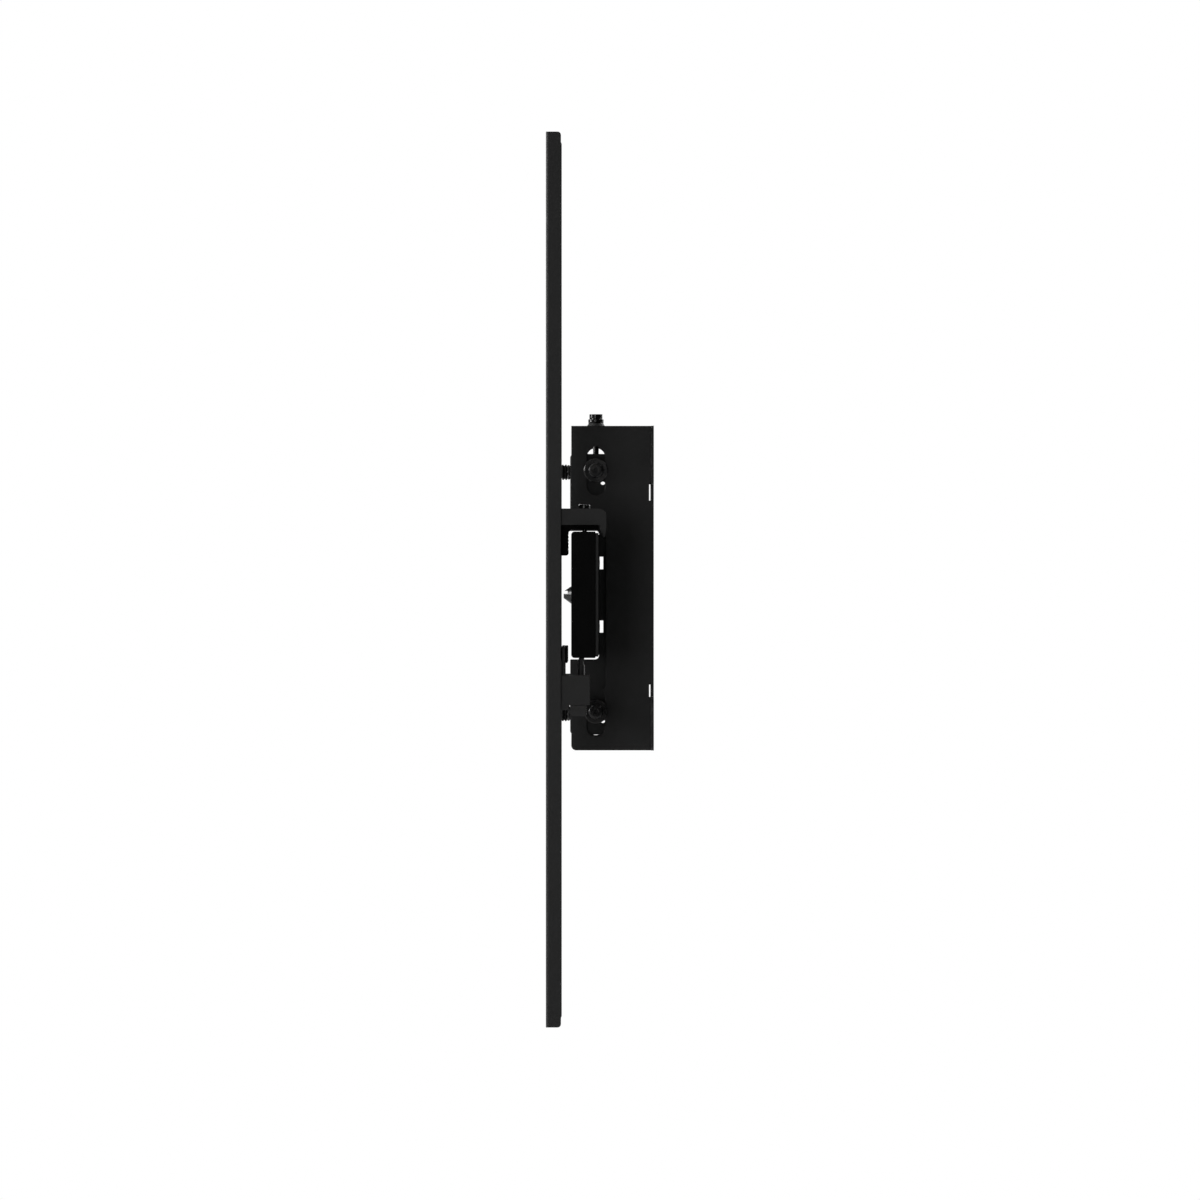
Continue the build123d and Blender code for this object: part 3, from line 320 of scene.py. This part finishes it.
def piece(name, points, faces, body, slot, material=None, smooth=True):
    """Make one mesh object, dress it and let it ride on a body."""
    mesh = bpy.data.meshes.new(name)
    mesh.from_pydata([tuple(p) for p in points], [], faces)
    mesh.validate()
    obj = bpy.data.objects.new(name, mesh)
    bpy.context.scene.collection.objects.link(obj)
    mesh.polygons.foreach_set("use_smooth", [smooth] * len(mesh.polygons))
    mesh.materials.append(material or MATERIALS[slot])
    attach(obj, body)
    return obj


def sweep(path, radii, sides=10):
    """Points and faces of a capped tube along a path, with a radius at each point."""
    path = [Vector(p) for p in path]
    count = len(path)
    points, faces = [], []
    side = None
    for i, here in enumerate(path):
        along = (path[min(i + 1, count - 1)] - path[max(i - 1, 0)]).normalized()
        if side is None:
            guide = Vector((0, 0, 1)) if abs(along.z) < 0.9 else Vector((1, 0, 0))
            side = along.cross(guide).normalized()
        side = (side - along * side.dot(along)).normalized()
        other = along.cross(side)
        for k in range(sides):
            turn = 2 * math.pi * k / sides
            points.append(here + radii[i] * (math.cos(turn) * side + math.sin(turn) * other))
    for i in range(count - 1):
        a, b = i * sides, (i + 1) * sides
        for k in range(sides):
            n = (k + 1) % sides
            faces.append((a + k, a + n, b + n, b + k))
    faces.append(tuple(reversed(range(sides))))
    faces.append(tuple(range((count - 1) * sides, count * sides)))
    return points, faces


def placed(points, centre, direction):
    """Turn local points, whose height is Z, to a direction and move them to a centre."""
    turn = TURN[direction]
    return [Vector(centre) + turn @ Vector(p) for p in points]


def lathe(profile, segments=64):
    """A solid of revolution about local Z. The profile is (radius, height) points from axis to axis."""
    points, faces, rings = [], [], []
    for radius, height in profile:
        if radius < 1e-9:
            rings.append([len(points)])
            points.append((0, 0, height))
            continue
        rings.append(list(range(len(points), len(points) + segments)))
        for k in range(segments):
            turn = 2 * math.pi * k / segments
            points.append((radius * math.cos(turn), radius * math.sin(turn), height))
    for a, b in zip(rings, rings[1:]):
        for k in range(segments):
            n = (k + 1) % segments
            if len(a) == 1:
                faces.append((a[0], b[n], b[k]))
            elif len(b) == 1:
                faces.append((a[k], a[n], b[0]))
            else:
                faces.append((a[k], a[n], b[n], b[k]))
    return points, faces


def arc(centre_r, centre_h, radius, start, end, steps=6):
    """Profile points on an arc, from one angle to another in degrees."""
    found = []
    for i in range(steps + 1):
        angle = math.radians(start + (end - start) * i / steps)
        found.append((centre_r + radius * math.cos(angle), centre_h + radius * math.sin(angle)))
    return found


def hex_nut(across, height, bore, segments=96):
    """A chamfered hexagonal nut about local Z, with a countersunk bore."""
    half = across / 2
    chamfer = 0.09 * across
    face, corner = half * 0.97, half * 1.16
    levels = [(0.0, face), (chamfer, corner), (height - chamfer, corner), (height, face)]
    points, faces = [], []
    for level, limit in levels:
        for k in range(segments):
            turn = 2 * math.pi * k / segments
            off = (turn + math.pi / 6) % (math.pi / 3) - math.pi / 6
            radius = min(half / math.cos(off), limit)
            points.append((radius * math.cos(turn), radius * math.sin(turn), level))
    sink = 0.5 * MM
    for level, radius in ((height, bore + sink), (height - sink, bore), (sink, bore), (0.0, bore + sink)):
        for k in range(segments):
            turn = 2 * math.pi * k / segments
            points.append((radius * math.cos(turn), radius * math.sin(turn), level))
    rings = len(levels) + 4
    for ring in range(rings):
        a, b = ring * segments, ((ring + 1) % rings) * segments
        for k in range(segments):
            n = (k + 1) % segments
            faces.append((a + k, a + n, b + n, b + k))
    return points, faces


def thread(radius, length, pitch, depth, steps=28):
    """A helical ridge about local Z that starts and ends by fading into the shaft."""
    turns = length / pitch
    count = max(int(turns * steps), 8)
    fade = min(steps * 0.5, count * 0.25)
    points, faces = [], []
    for i in range(count + 1):
        turn = 2 * math.pi * turns * i / count
        height = (length - pitch * 0.8) * i / count + pitch * 0.4
        grown = min(1.0, i / fade, (count - i) / fade)
        inner = radius - 0.06 * MM
        crest = radius + depth * grown
        direction = Vector((math.cos(turn), math.sin(turn), 0))
        for reach, rise in ((inner, -0.40), (crest, -0.07), (crest, 0.07), (inner, 0.40)):
            points.append(direction * reach + Vector((0, 0, height + rise * pitch)))
    for i in range(count):
        a, b = i * 4, (i + 1) * 4
        for k in range(4):
            n = (k + 1) % 4
            faces.append((a + k, b + k, b + n, a + n))
    faces.append((0, 1, 2, 3))
    last = count * 4
    faces.append((last + 3, last + 2, last + 1, last))
    return points, faces


def thread_piece(name, centre, direction, radius, length, pitch, body, depth=0.18 * MM):
    points, faces = thread(radius, length, pitch, depth)
    return piece(name, placed(points, centre, direction), faces, body, "black_oxide_steel")


def m6_thread(name, centre, direction, length, body):
    """A full-depth M6 thread on a stud's core."""
    return thread_piece(name, centre, direction, M6_CORE, length, M6_PITCH, body, M6_RIDGE)


def hex_nut_piece(name, centre, across, length, body):
    points, faces = hex_nut(across, length, M6_RADIUS)
    return piece(name, placed(points, centre, "+Y"), faces, body, "black_oxide_steel", smooth=False)


def weld_bead(name, start, end, radius, body, slot, seed=0):
    """A weld along a straight corner: overlapping ripples, slightly uneven, fading in at both ends."""
    start, end = Vector(start), Vector(end)
    length = (end - start).length
    step = radius * 0.22
    count = max(int(length / step), 12)
    rng = np.random.default_rng(seed)
    drift = np.convolve(rng.normal(0, 1, count + 25), np.ones(12) / 12, "valid")
    path, radii = [], []
    for i in range(count + 1):
        share = i / count
        ripple = abs(math.sin(math.pi * share * length / (radius * 1.3)))
        ends = min(1.0, math.sqrt(max(min(share, 1 - share) * count / 8, 0.0004)))
        path.append(start.lerp(end, share))
        radii.append(radius * ends * (0.84 + 0.13 * ripple + 0.06 * float(drift[i])))
    points, faces = sweep(path, radii, sides=12)
    return piece(name, points, faces, body, slot)


# ---------------------------------------------------------------- wall box and inner frame


def box_seams():
    """Welds inside the wall box's four corners, where its sides meet the top and bottom walls."""
    for side, sign in OUTWARD:
        low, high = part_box(f"box_side_{side}")
        inner_x = high.x if sign < 0 else low.x
        for shelf, edge in (("box_top", 0), ("box_bottom", 1)):
            shelf_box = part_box(shelf)
            z = shelf_box[edge].z
            for index, (near, far) in enumerate(((0.10, 0.34), (0.62, 0.88))):
                front, back = shelf_box[0].y, shelf_box[1].y
                start = (inner_x, front + near * (back - front), z)
                end = (inner_x, front + far * (back - front), z)
                name = f"{shelf}_seam_{side}_{index + 1}"
                weld_bead(name, start, end, 0.9 * MM, "wall", "box_coat", seed=index)


def height_screw_threads():
    """The threaded shank of each hanging screw, between the box's top wall and the frame."""
    shelf_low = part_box("box_top")[0].z
    frame_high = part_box("frame_top")[1].z
    for side, solid in zip(SIDES, islands("height_screws")):
        centre = middle(solid)
        base = frame_high + HEIGHT_TRAVEL_ROOM
        length = shelf_low - 1.6 * MM - base
        place = (centre.x, centre.y, base)
        name = f"height_screw_thread_{side}"
        thread_piece(name, place, "+Z", HEIGHT_SCREW_RADIUS, length, M4_PITCH, "wall", 0.15 * MM)


def clamp_bolt_threads():
    """The ends of the clamp bolts that stand out of their weld nuts, inside the frame."""
    for index, solid in enumerate(islands("clamp_bolts")):
        low, high = solid
        centre = middle(solid)
        inward = "+X" if centre.x < 0 else "-X"
        end = high.x if centre.x < 0 else low.x
        start = end - FREE_END if centre.x < 0 else end + FREE_END
        place = (start, centre.y, centre.z)
        name = f"clamp_bolt_thread_{index + 1}"
        thread_piece(name, place, inward, M6_RADIUS, FREE_END, M6_PITCH, "frame")


def stop_tip_profile(radius, reach):
    """A rubber tip with a rounded end and one groove around it."""
    floor = radius - 0.75 * MM
    groove = reach * 0.52
    profile = [(0, 0), (2.2 * MM, 0.0)]
    profile += arc(radius - 1.0 * MM, 1.0 * MM, 1.0 * MM, -90, 0)
    profile += [(radius, groove - 0.6 * MM), (floor, groove - 0.25 * MM)]
    profile += [(floor, groove + 0.35 * MM), (radius, groove + 0.7 * MM)]
    return profile + [(radius, reach - 0.35 * MM), (radius - 0.3 * MM, reach), (0, reach)]


def stop_bumper_parts():
    """Each stop: a grooved rubber tip on a threaded stud, held on the frame's tab by a hexagon nut."""
    solids = islands("stop_bumpers")
    studs = [s for s in solids if s[1].y - s[0].y > 5 * MM]
    nut_length = min(s[1].y - s[0].y for s in solids)
    tab_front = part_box("frame_side_right")[0].y
    nut_front = tab_front - nut_length
    for index, (low, high) in enumerate(studs):
        centre = middle((low, high))
        points, faces = lathe(stop_tip_profile((high.x - low.x) / 2, nut_front - low.y), 72)
        place = (centre.x, low.y, centre.z)
        tip = piece(f"stop_tip_{index + 1}", placed(points, place, "+Y"), faces, "frame", "black_rubber")
        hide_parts("stop_bumpers")
        nut_place = (centre.x, nut_front, centre.z)
        hex_nut_piece(f"stop_nut_{index + 1}", nut_place, 8.3 * MM, nut_length, "frame")
        length = high.y - nut_front
        core = [(0, 0), (M6_CORE, 0), (M6_CORE, length - 0.5 * MM), (2.1 * MM, length), (0, length)]
        points, faces = lathe(core, 48)
        points = placed(points, nut_place, "+Y")
        piece(f"stop_stud_{index + 1}", points, faces, "frame", "black_oxide_steel")
        start = (centre.x, tab_front - 0.1 * MM, centre.z)
        m6_thread(f"stop_thread_{index + 1}", start, "+Y", high.y - tab_front - 0.2 * MM, "frame")


def arm_base_details():
    """Welds between each arm base's ledge and foot, and threads on its bolts."""
    for name, upper in (("arm_base_upper", True), ("arm_base_lower", False)):
        low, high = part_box(name)
        foot_front = high.y - BASE_FOOT
        ledge = low.z + CLEVIS_PLATE if upper else high.z - CLEVIS_PLATE
        for index, (near, far) in enumerate(((-34, -8), (8, 34))):
            start = (near * MM, foot_front, ledge)
            end = (far * MM, foot_front, ledge)
            weld_bead(f"{name}_weld_{index + 1}", start, end, 1.5 * MM, "frame", "frame_coat", seed=7 + index)
    for index, (low, high) in enumerate(islands("arm_base_bolts")):
        centre = middle((low, high))
        start = (centre.x, low.y + 2.0 * MM, centre.z)
        name = f"arm_base_bolt_thread_{index + 1}"
        thread_piece(name, start, "-Y", M6_RADIUS, FREE_END, M6_PITCH, "frame")


# ---------------------------------------------------------------- head and yoke


def head_welds():
    """Beads that join the head's web to its plates and the yoke's hub and lugs to its cross plate."""
    low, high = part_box("head_bracket")
    web_front = high.y - HEAD_WEB
    for name, z in (("upper", high.z - CLEVIS_PLATE), ("lower", low.z + CLEVIS_PLATE)):
        start, end = (-18 * MM, web_front, z), (18 * MM, web_front, z)
        weld_bead(f"head_web_weld_{name}", start, end, 0.9 * MM, "head", "arm_coat", 3)
    hub = middle(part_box("swivel_pin"))
    yoke_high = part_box("swivel_yoke")[1]
    plate_rear = hub.y - HUB_TO_YOKE_PLATE
    for side, sign in OUTWARD:
        x = sign * 4.2 * MM
        start, end = (x, plate_rear, -17 * MM), (x, plate_rear, 8 * MM)
        weld_bead(f"yoke_hub_weld_{side}", start, end, 1.2 * MM, "yoke", "arm_coat", 11)
        lug_x = sign * (yoke_high.x - CLEVIS_PLATE)
        lug_y = plate_rear - YOKE_PLATE
        start, end = (lug_x, lug_y, -15 * MM), (lug_x, lug_y, 6 * MM)
        weld_bead(f"yoke_lug_weld_{side}", start, end, 1.0 * MM, "yoke", "arm_coat", 13)


# ---------------------------------------------------------------- crossbar


def crossbar_details():
    """Welds at the tilt ears and peened heads where the studs come through the back plates."""
    wall_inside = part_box("crossbar")[0].y + BAR_WALL
    for side, (low, high) in zip(SIDES, islands("tilt_ears")):
        outer = low.x if side == "left" else high.x
        start = (outer, wall_inside, low.z + 2 * MM)
        end = (outer, wall_inside, high.z - 2 * MM)
        weld_bead(f"tilt_ear_weld_{side}", start, end, 1.0 * MM, "crossbar", "bar_coat", 17)
    plate_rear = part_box("crossbar_back_plates")[1].y
    for index, solid in enumerate(islands("back_plate_studs")):
        centre = middle(solid)
        reach = solid[1].y - plate_rear
        profile = [(0, 0), (3.55 * MM, 0), (3.3 * MM, reach * 0.55), (2.6 * MM, reach - 0.1 * MM)]
        profile += [(1.6 * MM, reach + 0.02 * MM), (0, reach + 0.05 * MM)]
        points, faces = lathe(profile, 48)
        points = placed(points, (centre.x, plate_rear, centre.z), "+Y")
        piece(f"stud_head_{index + 1}", points, faces, "crossbar", "black_oxide_steel")


# ---------------------------------------------------------------- rails


def rail_welds(side):
    """Beads inside the rail's channel, where the hook and lock brackets' cheeks meet its web."""
    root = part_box(f"tv_rail_{side}")[0].y + RAIL_SHEET
    for bracket in ("hook_bracket", "lock_bracket"):
        low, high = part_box(f"{bracket}_{side}")
        if bracket == "hook_bracket":
            bottom, top = high.z - 10.5 * MM, high.z - 3.5 * MM
        else:
            bottom, top = max(low.z, high.z - 26 * MM) + 1.5 * MM, low.z + 24 * MM
        for index, x in enumerate((low.x + BRACKET_SHEET, high.x - BRACKET_SHEET)):
            start, end = (x, root, bottom), (x, root, top)
            name = f"{bracket}_{side}_weld_{index + 1}"
            weld_bead(name, start, end, 0.9 * MM, f"rail_{side}", "rail_coat", 21 + index)


def foot_disc_profile(radius):
    """A rubber disc with a rounded rim and three ring grooves in its rubbing face."""
    profile = [(0, 0), (radius - 0.4 * MM, 0), (radius, 0.3 * MM), (radius, 1.2 * MM)]
    profile += arc(radius - 0.6 * MM, 1.3 * MM, 0.6 * MM, 0, 90)
    floor = 1.6 * MM
    for ring in (4.4, 3.0, 1.6):
        profile += [(ring * MM, FOOT_DISC), ((ring - 0.25) * MM, floor)]
        profile += [((ring - 0.55) * MM, floor), ((ring - 0.8) * MM, FOOT_DISC)]
    return profile + [(0, FOOT_DISC)]


def rail_pad_parts(side):
    """The ribbed glide behind the rail, and the adjustable foot: rubber disc, threaded stud and nut."""
    solids = sorted(islands(f"rail_pads_{side}"), key=lambda s: s[0].z)
    foot, glide = solids[0], solids[-1]
    body = f"rail_{side}"
    points, faces = ribbed_glide(*glide)
    pad = piece(f"glide_pad_{side}", points, faces, body, "black_rubber", material=PAD_PLASTIC, smooth=False)
    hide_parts(f"rail_pads_{side}")
    centre = middle(foot)
    disc_front = foot[1].y - FOOT_DISC
    points, faces = lathe(foot_disc_profile((foot[1].x - foot[0].x) / 2), 72)
    place = (centre.x, disc_front, centre.z)
    piece(f"foot_disc_{side}", placed(points, place, "+Y"), faces, body, "black_rubber")
    stud_front = foot[0].y
    length = disc_front - stud_front
    core = [(0, 0), (2.1 * MM, 0), (M6_CORE, 0.5 * MM), (M6_CORE, length), (0, length)]
    points, faces = lathe(core, 48)
    points = placed(points, (centre.x, stud_front, centre.z), "+Y")
    piece(f"foot_stud_{side}", points, faces, body, "black_oxide_steel")
    thread_length = 2.6 * MM
    start = (centre.x, stud_front + 0.1 * MM, centre.z)
    m6_thread(f"foot_thread_{side}", start, "+Y", thread_length, body)
    nut_place = (centre.x, stud_front + thread_length, centre.z)
    hex_nut_piece(f"foot_nut_{side}", nut_place, 9.5 * MM, 3.15 * MM, body)


def ribbed_glide(low, high):
    """An L-shaped glide: a leg with a grooved rubbing face, and a ledge over the crossbar's top."""
    bar_low, bar_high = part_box("crossbar")
    painted_edge_highlight, ledge = bar_low.y - GLIDE_STANDOFF, bar_high.z + GLIDE_LEDGE_GAP
    span = ledge - low.z
    floor = painted_edge_highlight - 0.25 * MM
    round_end = 2.0 * MM
    outline = [(low.y, low.z), (low.y, high.z), (high.y - 0.8 * MM, high.z), (high.y, high.z - 0.8 * MM)]
    outline += [(high.y, ledge + 0.6 * MM), (high.y - 0.6 * MM, ledge), (painted_edge_highlight + 1.2 * MM, ledge)]
    outline += [(painted_edge_highlight + 0.35 * MM, ledge - 0.35 * MM), (painted_edge_highlight, ledge - 1.2 * MM)]
    for index in range(5):
        top = ledge - span * (0.14 + 0.14 * index)
        outline += [(painted_edge_highlight, top), (floor, top - 0.02 * span)]
        outline += [(floor, top - 0.06 * span), (painted_edge_highlight, top - 0.08 * span)]
    for step in range(7):
        angle = math.radians(90 * step / 6)
        y = painted_edge_highlight - round_end * (1 - math.cos(angle))
        outline.append((y, low.z + round_end * (1 - math.sin(angle))))
    count = len(outline)
    points = [(x, y, z) for x in (low.x, high.x) for y, z in outline]
    faces = [(k, (k + 1) % count, count + (k + 1) % count, count + k) for k in range(count)]
    faces += [tuple(reversed(range(count))), tuple(range(count, 2 * count))]
    return points, faces


def level_screw_thread(side):
    """The thread below the levelling screw's nut, down to its dog point."""
    screw, nut = sorted(islands(f"level_screw_{side}"), key=lambda s: s[0].z)[:2]
    centre = middle(screw)
    top = nut[0].z
    bottom = screw[0].z + LEVEL_DOG_LENGTH
    place = (centre.x, centre.y, bottom)
    name, length = f"level_screw_thread_{side}", top - bottom
    thread_piece(name, place, "+Z", LEVEL_SCREW_RADIUS, length, M4_PITCH, f"rail_{side}", 0.16 * MM)


def latch_spring(side):
    """The latch's compression spring, with closed ends."""
    low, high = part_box(f"lock_spring_{side}")
    centre = middle((low, high))
    wire = SPRING_WIRE
    radius = (high.x - low.x) / 2 - wire
    base, top = low.z + wire * 0.9, high.z - wire * 0.9
    turns, steps = 8.5, 32
    count = int(turns * steps)
    path = []
    for i in range(count + 1):
        turn = i / steps
        share = min(max((turn - 1.0) / (turns - 2.0), 0.0), 1.0)
        closed = 2.05 * wire * (min(turn, 1.0) + max(turn - (turns - 1.0), 0.0))
        height = base + closed + (top - base - 4.1 * wire) * share
        path.append((centre.x + radius * math.cos(2 * math.pi * turn),
                     centre.y + radius * math.sin(2 * math.pi * turn), height))
    points, faces = sweep(path, [wire] * len(path), sides=10)
    spring = piece(f"latch_spring_{side}", points, faces, f"rail_{side}", "spring_steel")
    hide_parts(f"lock_spring_{side}")
    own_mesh(spring)


def lock_tab_ribs(side):
    """Rounded finger ribs across the front and back of the pull tab."""
    low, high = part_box(f"lock_tab_{side}")
    inset, sunk = 1.6 * MM, 0.02 * MM
    rows = [(low.y + sunk, low.z + share * (high.z - low.z)) for share in (0.42, 0.60)]
    rows += [(high.y - sunk, low.z + share * (high.z - low.z)) for share in (0.22, 0.42, 0.62, 0.82)]
    steps = 16
    for index, (y, z) in enumerate(rows):
        width = high.x - low.x - 2 * inset
        path = [(low.x + inset + width * i / steps, y, z) for i in range(steps + 1)]
        radii = [0.42 * MM * min(1.0, 0.25 + i / 2, 0.25 + (steps - i) / 2) for i in range(steps + 1)]
        points, faces = sweep(path, radii, sides=10)
        piece(f"lock_tab_rib_{side}_{index + 1}", points, faces, f"latch_{side}", "black_plastic")


# ---------------------------------------------------------------- studio


def studio_world():
    """A white backdrop for the camera, and a dim grey dome that lights the object."""
    world = bpy.data.worlds.new("studio")
    bpy.context.scene.world = world
    world.use_nodes = True
    nodes = Nodes(world.node_tree)
    direction = nodes.add("ShaderNodeTexCoord").outputs["Generated"]
    height = nodes.add("ShaderNodeSeparateXYZ", {"Vector": direction}).outputs["Z"]
    shade = blend_colour(nodes, remap(nodes, height, -1.0, 1.0, 0.0, 1.0), grey(0.02), grey(0.07))
    dome = nodes.add("ShaderNodeBackground", {"Color": shade, "Strength": 1.0})
    white = nodes.add("ShaderNodeBackground", {"Color": grey(1.0), "Strength": 1.0})
    seen = nodes.add("ShaderNodeLightPath").outputs["Is Camera Ray"]
    both = nodes.add("ShaderNodeMixShader", {
        0: seen, 1: dome.outputs["Background"], 2: white.outputs["Background"]})
    nodes.add("ShaderNodeOutputWorld", {"Surface": both.outputs["Shader"]})


def soft_light(name, azimuth, elevation, distance, size, power):
    """A square soft box that faces the object. Azimuth 0 is in front of the screen, 90 at the +X side."""
    a, e = math.radians(azimuth), math.radians(elevation)
    away = Vector((math.sin(a) * math.cos(e), -math.cos(a) * math.cos(e), math.sin(e)))
    centre = (cad_low + cad_high) / 2
    data = bpy.data.lights.new(name, "AREA")
    data.size = size
    data.energy = power
    light = bpy.data.objects.new(name, data)
    bpy.context.scene.collection.objects.link(light)
    light.location = centre + away * distance
    light.rotation_euler = away.to_track_quat("Z", "Y").to_euler()
    light.visible_camera = False


def studio_floor():
    """A wide pale floor, faintly mottled, well below the mount; some light of its own evens it out."""
    size, drop, own_light = 6.5, 0.24, 0.85
    z = cad_low.z - drop
    mesh = bpy.data.meshes.new("studio_floor")
    corners = [(-size, -size, z), (size, -size, z), (size, size, z), (-size, size, z)]
    mesh.from_pydata(corners, [], [(0, 1, 2, 3)])
    floor = bpy.data.objects.new("studio_floor", mesh)
    bpy.context.scene.collection.objects.link(floor)
    material = bpy.data.materials.new("pale_floor")
    material.use_nodes = True
    nodes = Nodes(material.node_tree)
    place = nodes.add("ShaderNodeTexCoord").outputs["Object"]
    tone = blend_colour(nodes, noise(nodes, place, 3.0, 3.0), grey(0.74), grey(0.80))
    matt = nodes.add("ShaderNodeBsdfPrincipled", {"Base Color": tone, "Roughness": 0.7})
    seen = nodes.add("ShaderNodeLightPath").outputs["Is Camera Ray"]
    lift = nodes.add("ShaderNodeMath", {0: seen, 1: own_light}, operation="MULTIPLY").outputs["Value"]
    glow = nodes.add("ShaderNodeEmission", {"Color": tone, "Strength": lift})
    both = nodes.add("ShaderNodeAddShader", {0: matt.outputs["BSDF"], 1: glow.outputs["Emission"]})
    nodes.add("ShaderNodeOutputMaterial", {"Surface": both.outputs["Shader"]})
    mesh.materials.append(material)


def studio_camera():
    """A very long lens, square on to the mount's +X side and aimed a little below its middle."""
    data = bpy.data.cameras.new("camera")
    data.lens = 1200
    data.sensor_width = 36
    data.clip_start, data.clip_end = 1.0, 200.0
    camera = bpy.data.objects.new("camera", data)
    bpy.context.scene.collection.objects.link(camera)
    view_per_height = 1.3408
    below_middle, behind_middle = 14.9 * MM, 0.05 * MM
    width_seen = (cad_high.z - cad_low.z) * view_per_height
    distance = width_seen * data.lens / data.sensor_width
    aim_y = (cad_low.y + cad_high.y) / 2 + behind_middle
    aim_z = (cad_low.z + cad_high.z) / 2 - below_middle
    rail_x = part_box("tv_rail_right")[0].x
    camera.location = (rail_x + distance, aim_y, aim_z)
    camera.rotation_euler = (math.pi / 2, 0, math.pi / 2)
    bpy.context.scene.camera = camera


def studio():
    bpy.context.scene.view_settings.view_transform = "Standard"
    studio_world()
    studio_floor()
    # Name, azimuth and elevation in degrees, distance and size in metres, power in watts
    soft_light("key", 77, 2, 2.6, 0.6, 7.5)
    soft_light("side", 160, 46, 2.6, 0.5, 7)
    soft_light("top", 0, 80, 2.6, 2.0, 12)
    soft_light("back", 212, 20, 3.0, 1.6, 75)
    soft_light("front", 6, 12, 3.0, 1.0, 85)
    soft_light("front_high", 22, 48, 2.6, 0.45, 7)
    soft_light("left", 283, 20, 3.0, 1.6, 40)
    studio_camera()


dress_cad_nodes()
box_seams()
height_screw_threads()
clamp_bolt_threads()
stop_bumper_parts()
arm_base_details()
head_welds()
crossbar_details()
for side in SIDES:
    rail_welds(side)
    rail_pad_parts(side)
    level_screw_thread(side)
    latch_spring(side)
    lock_tab_ribs(side)
studio()
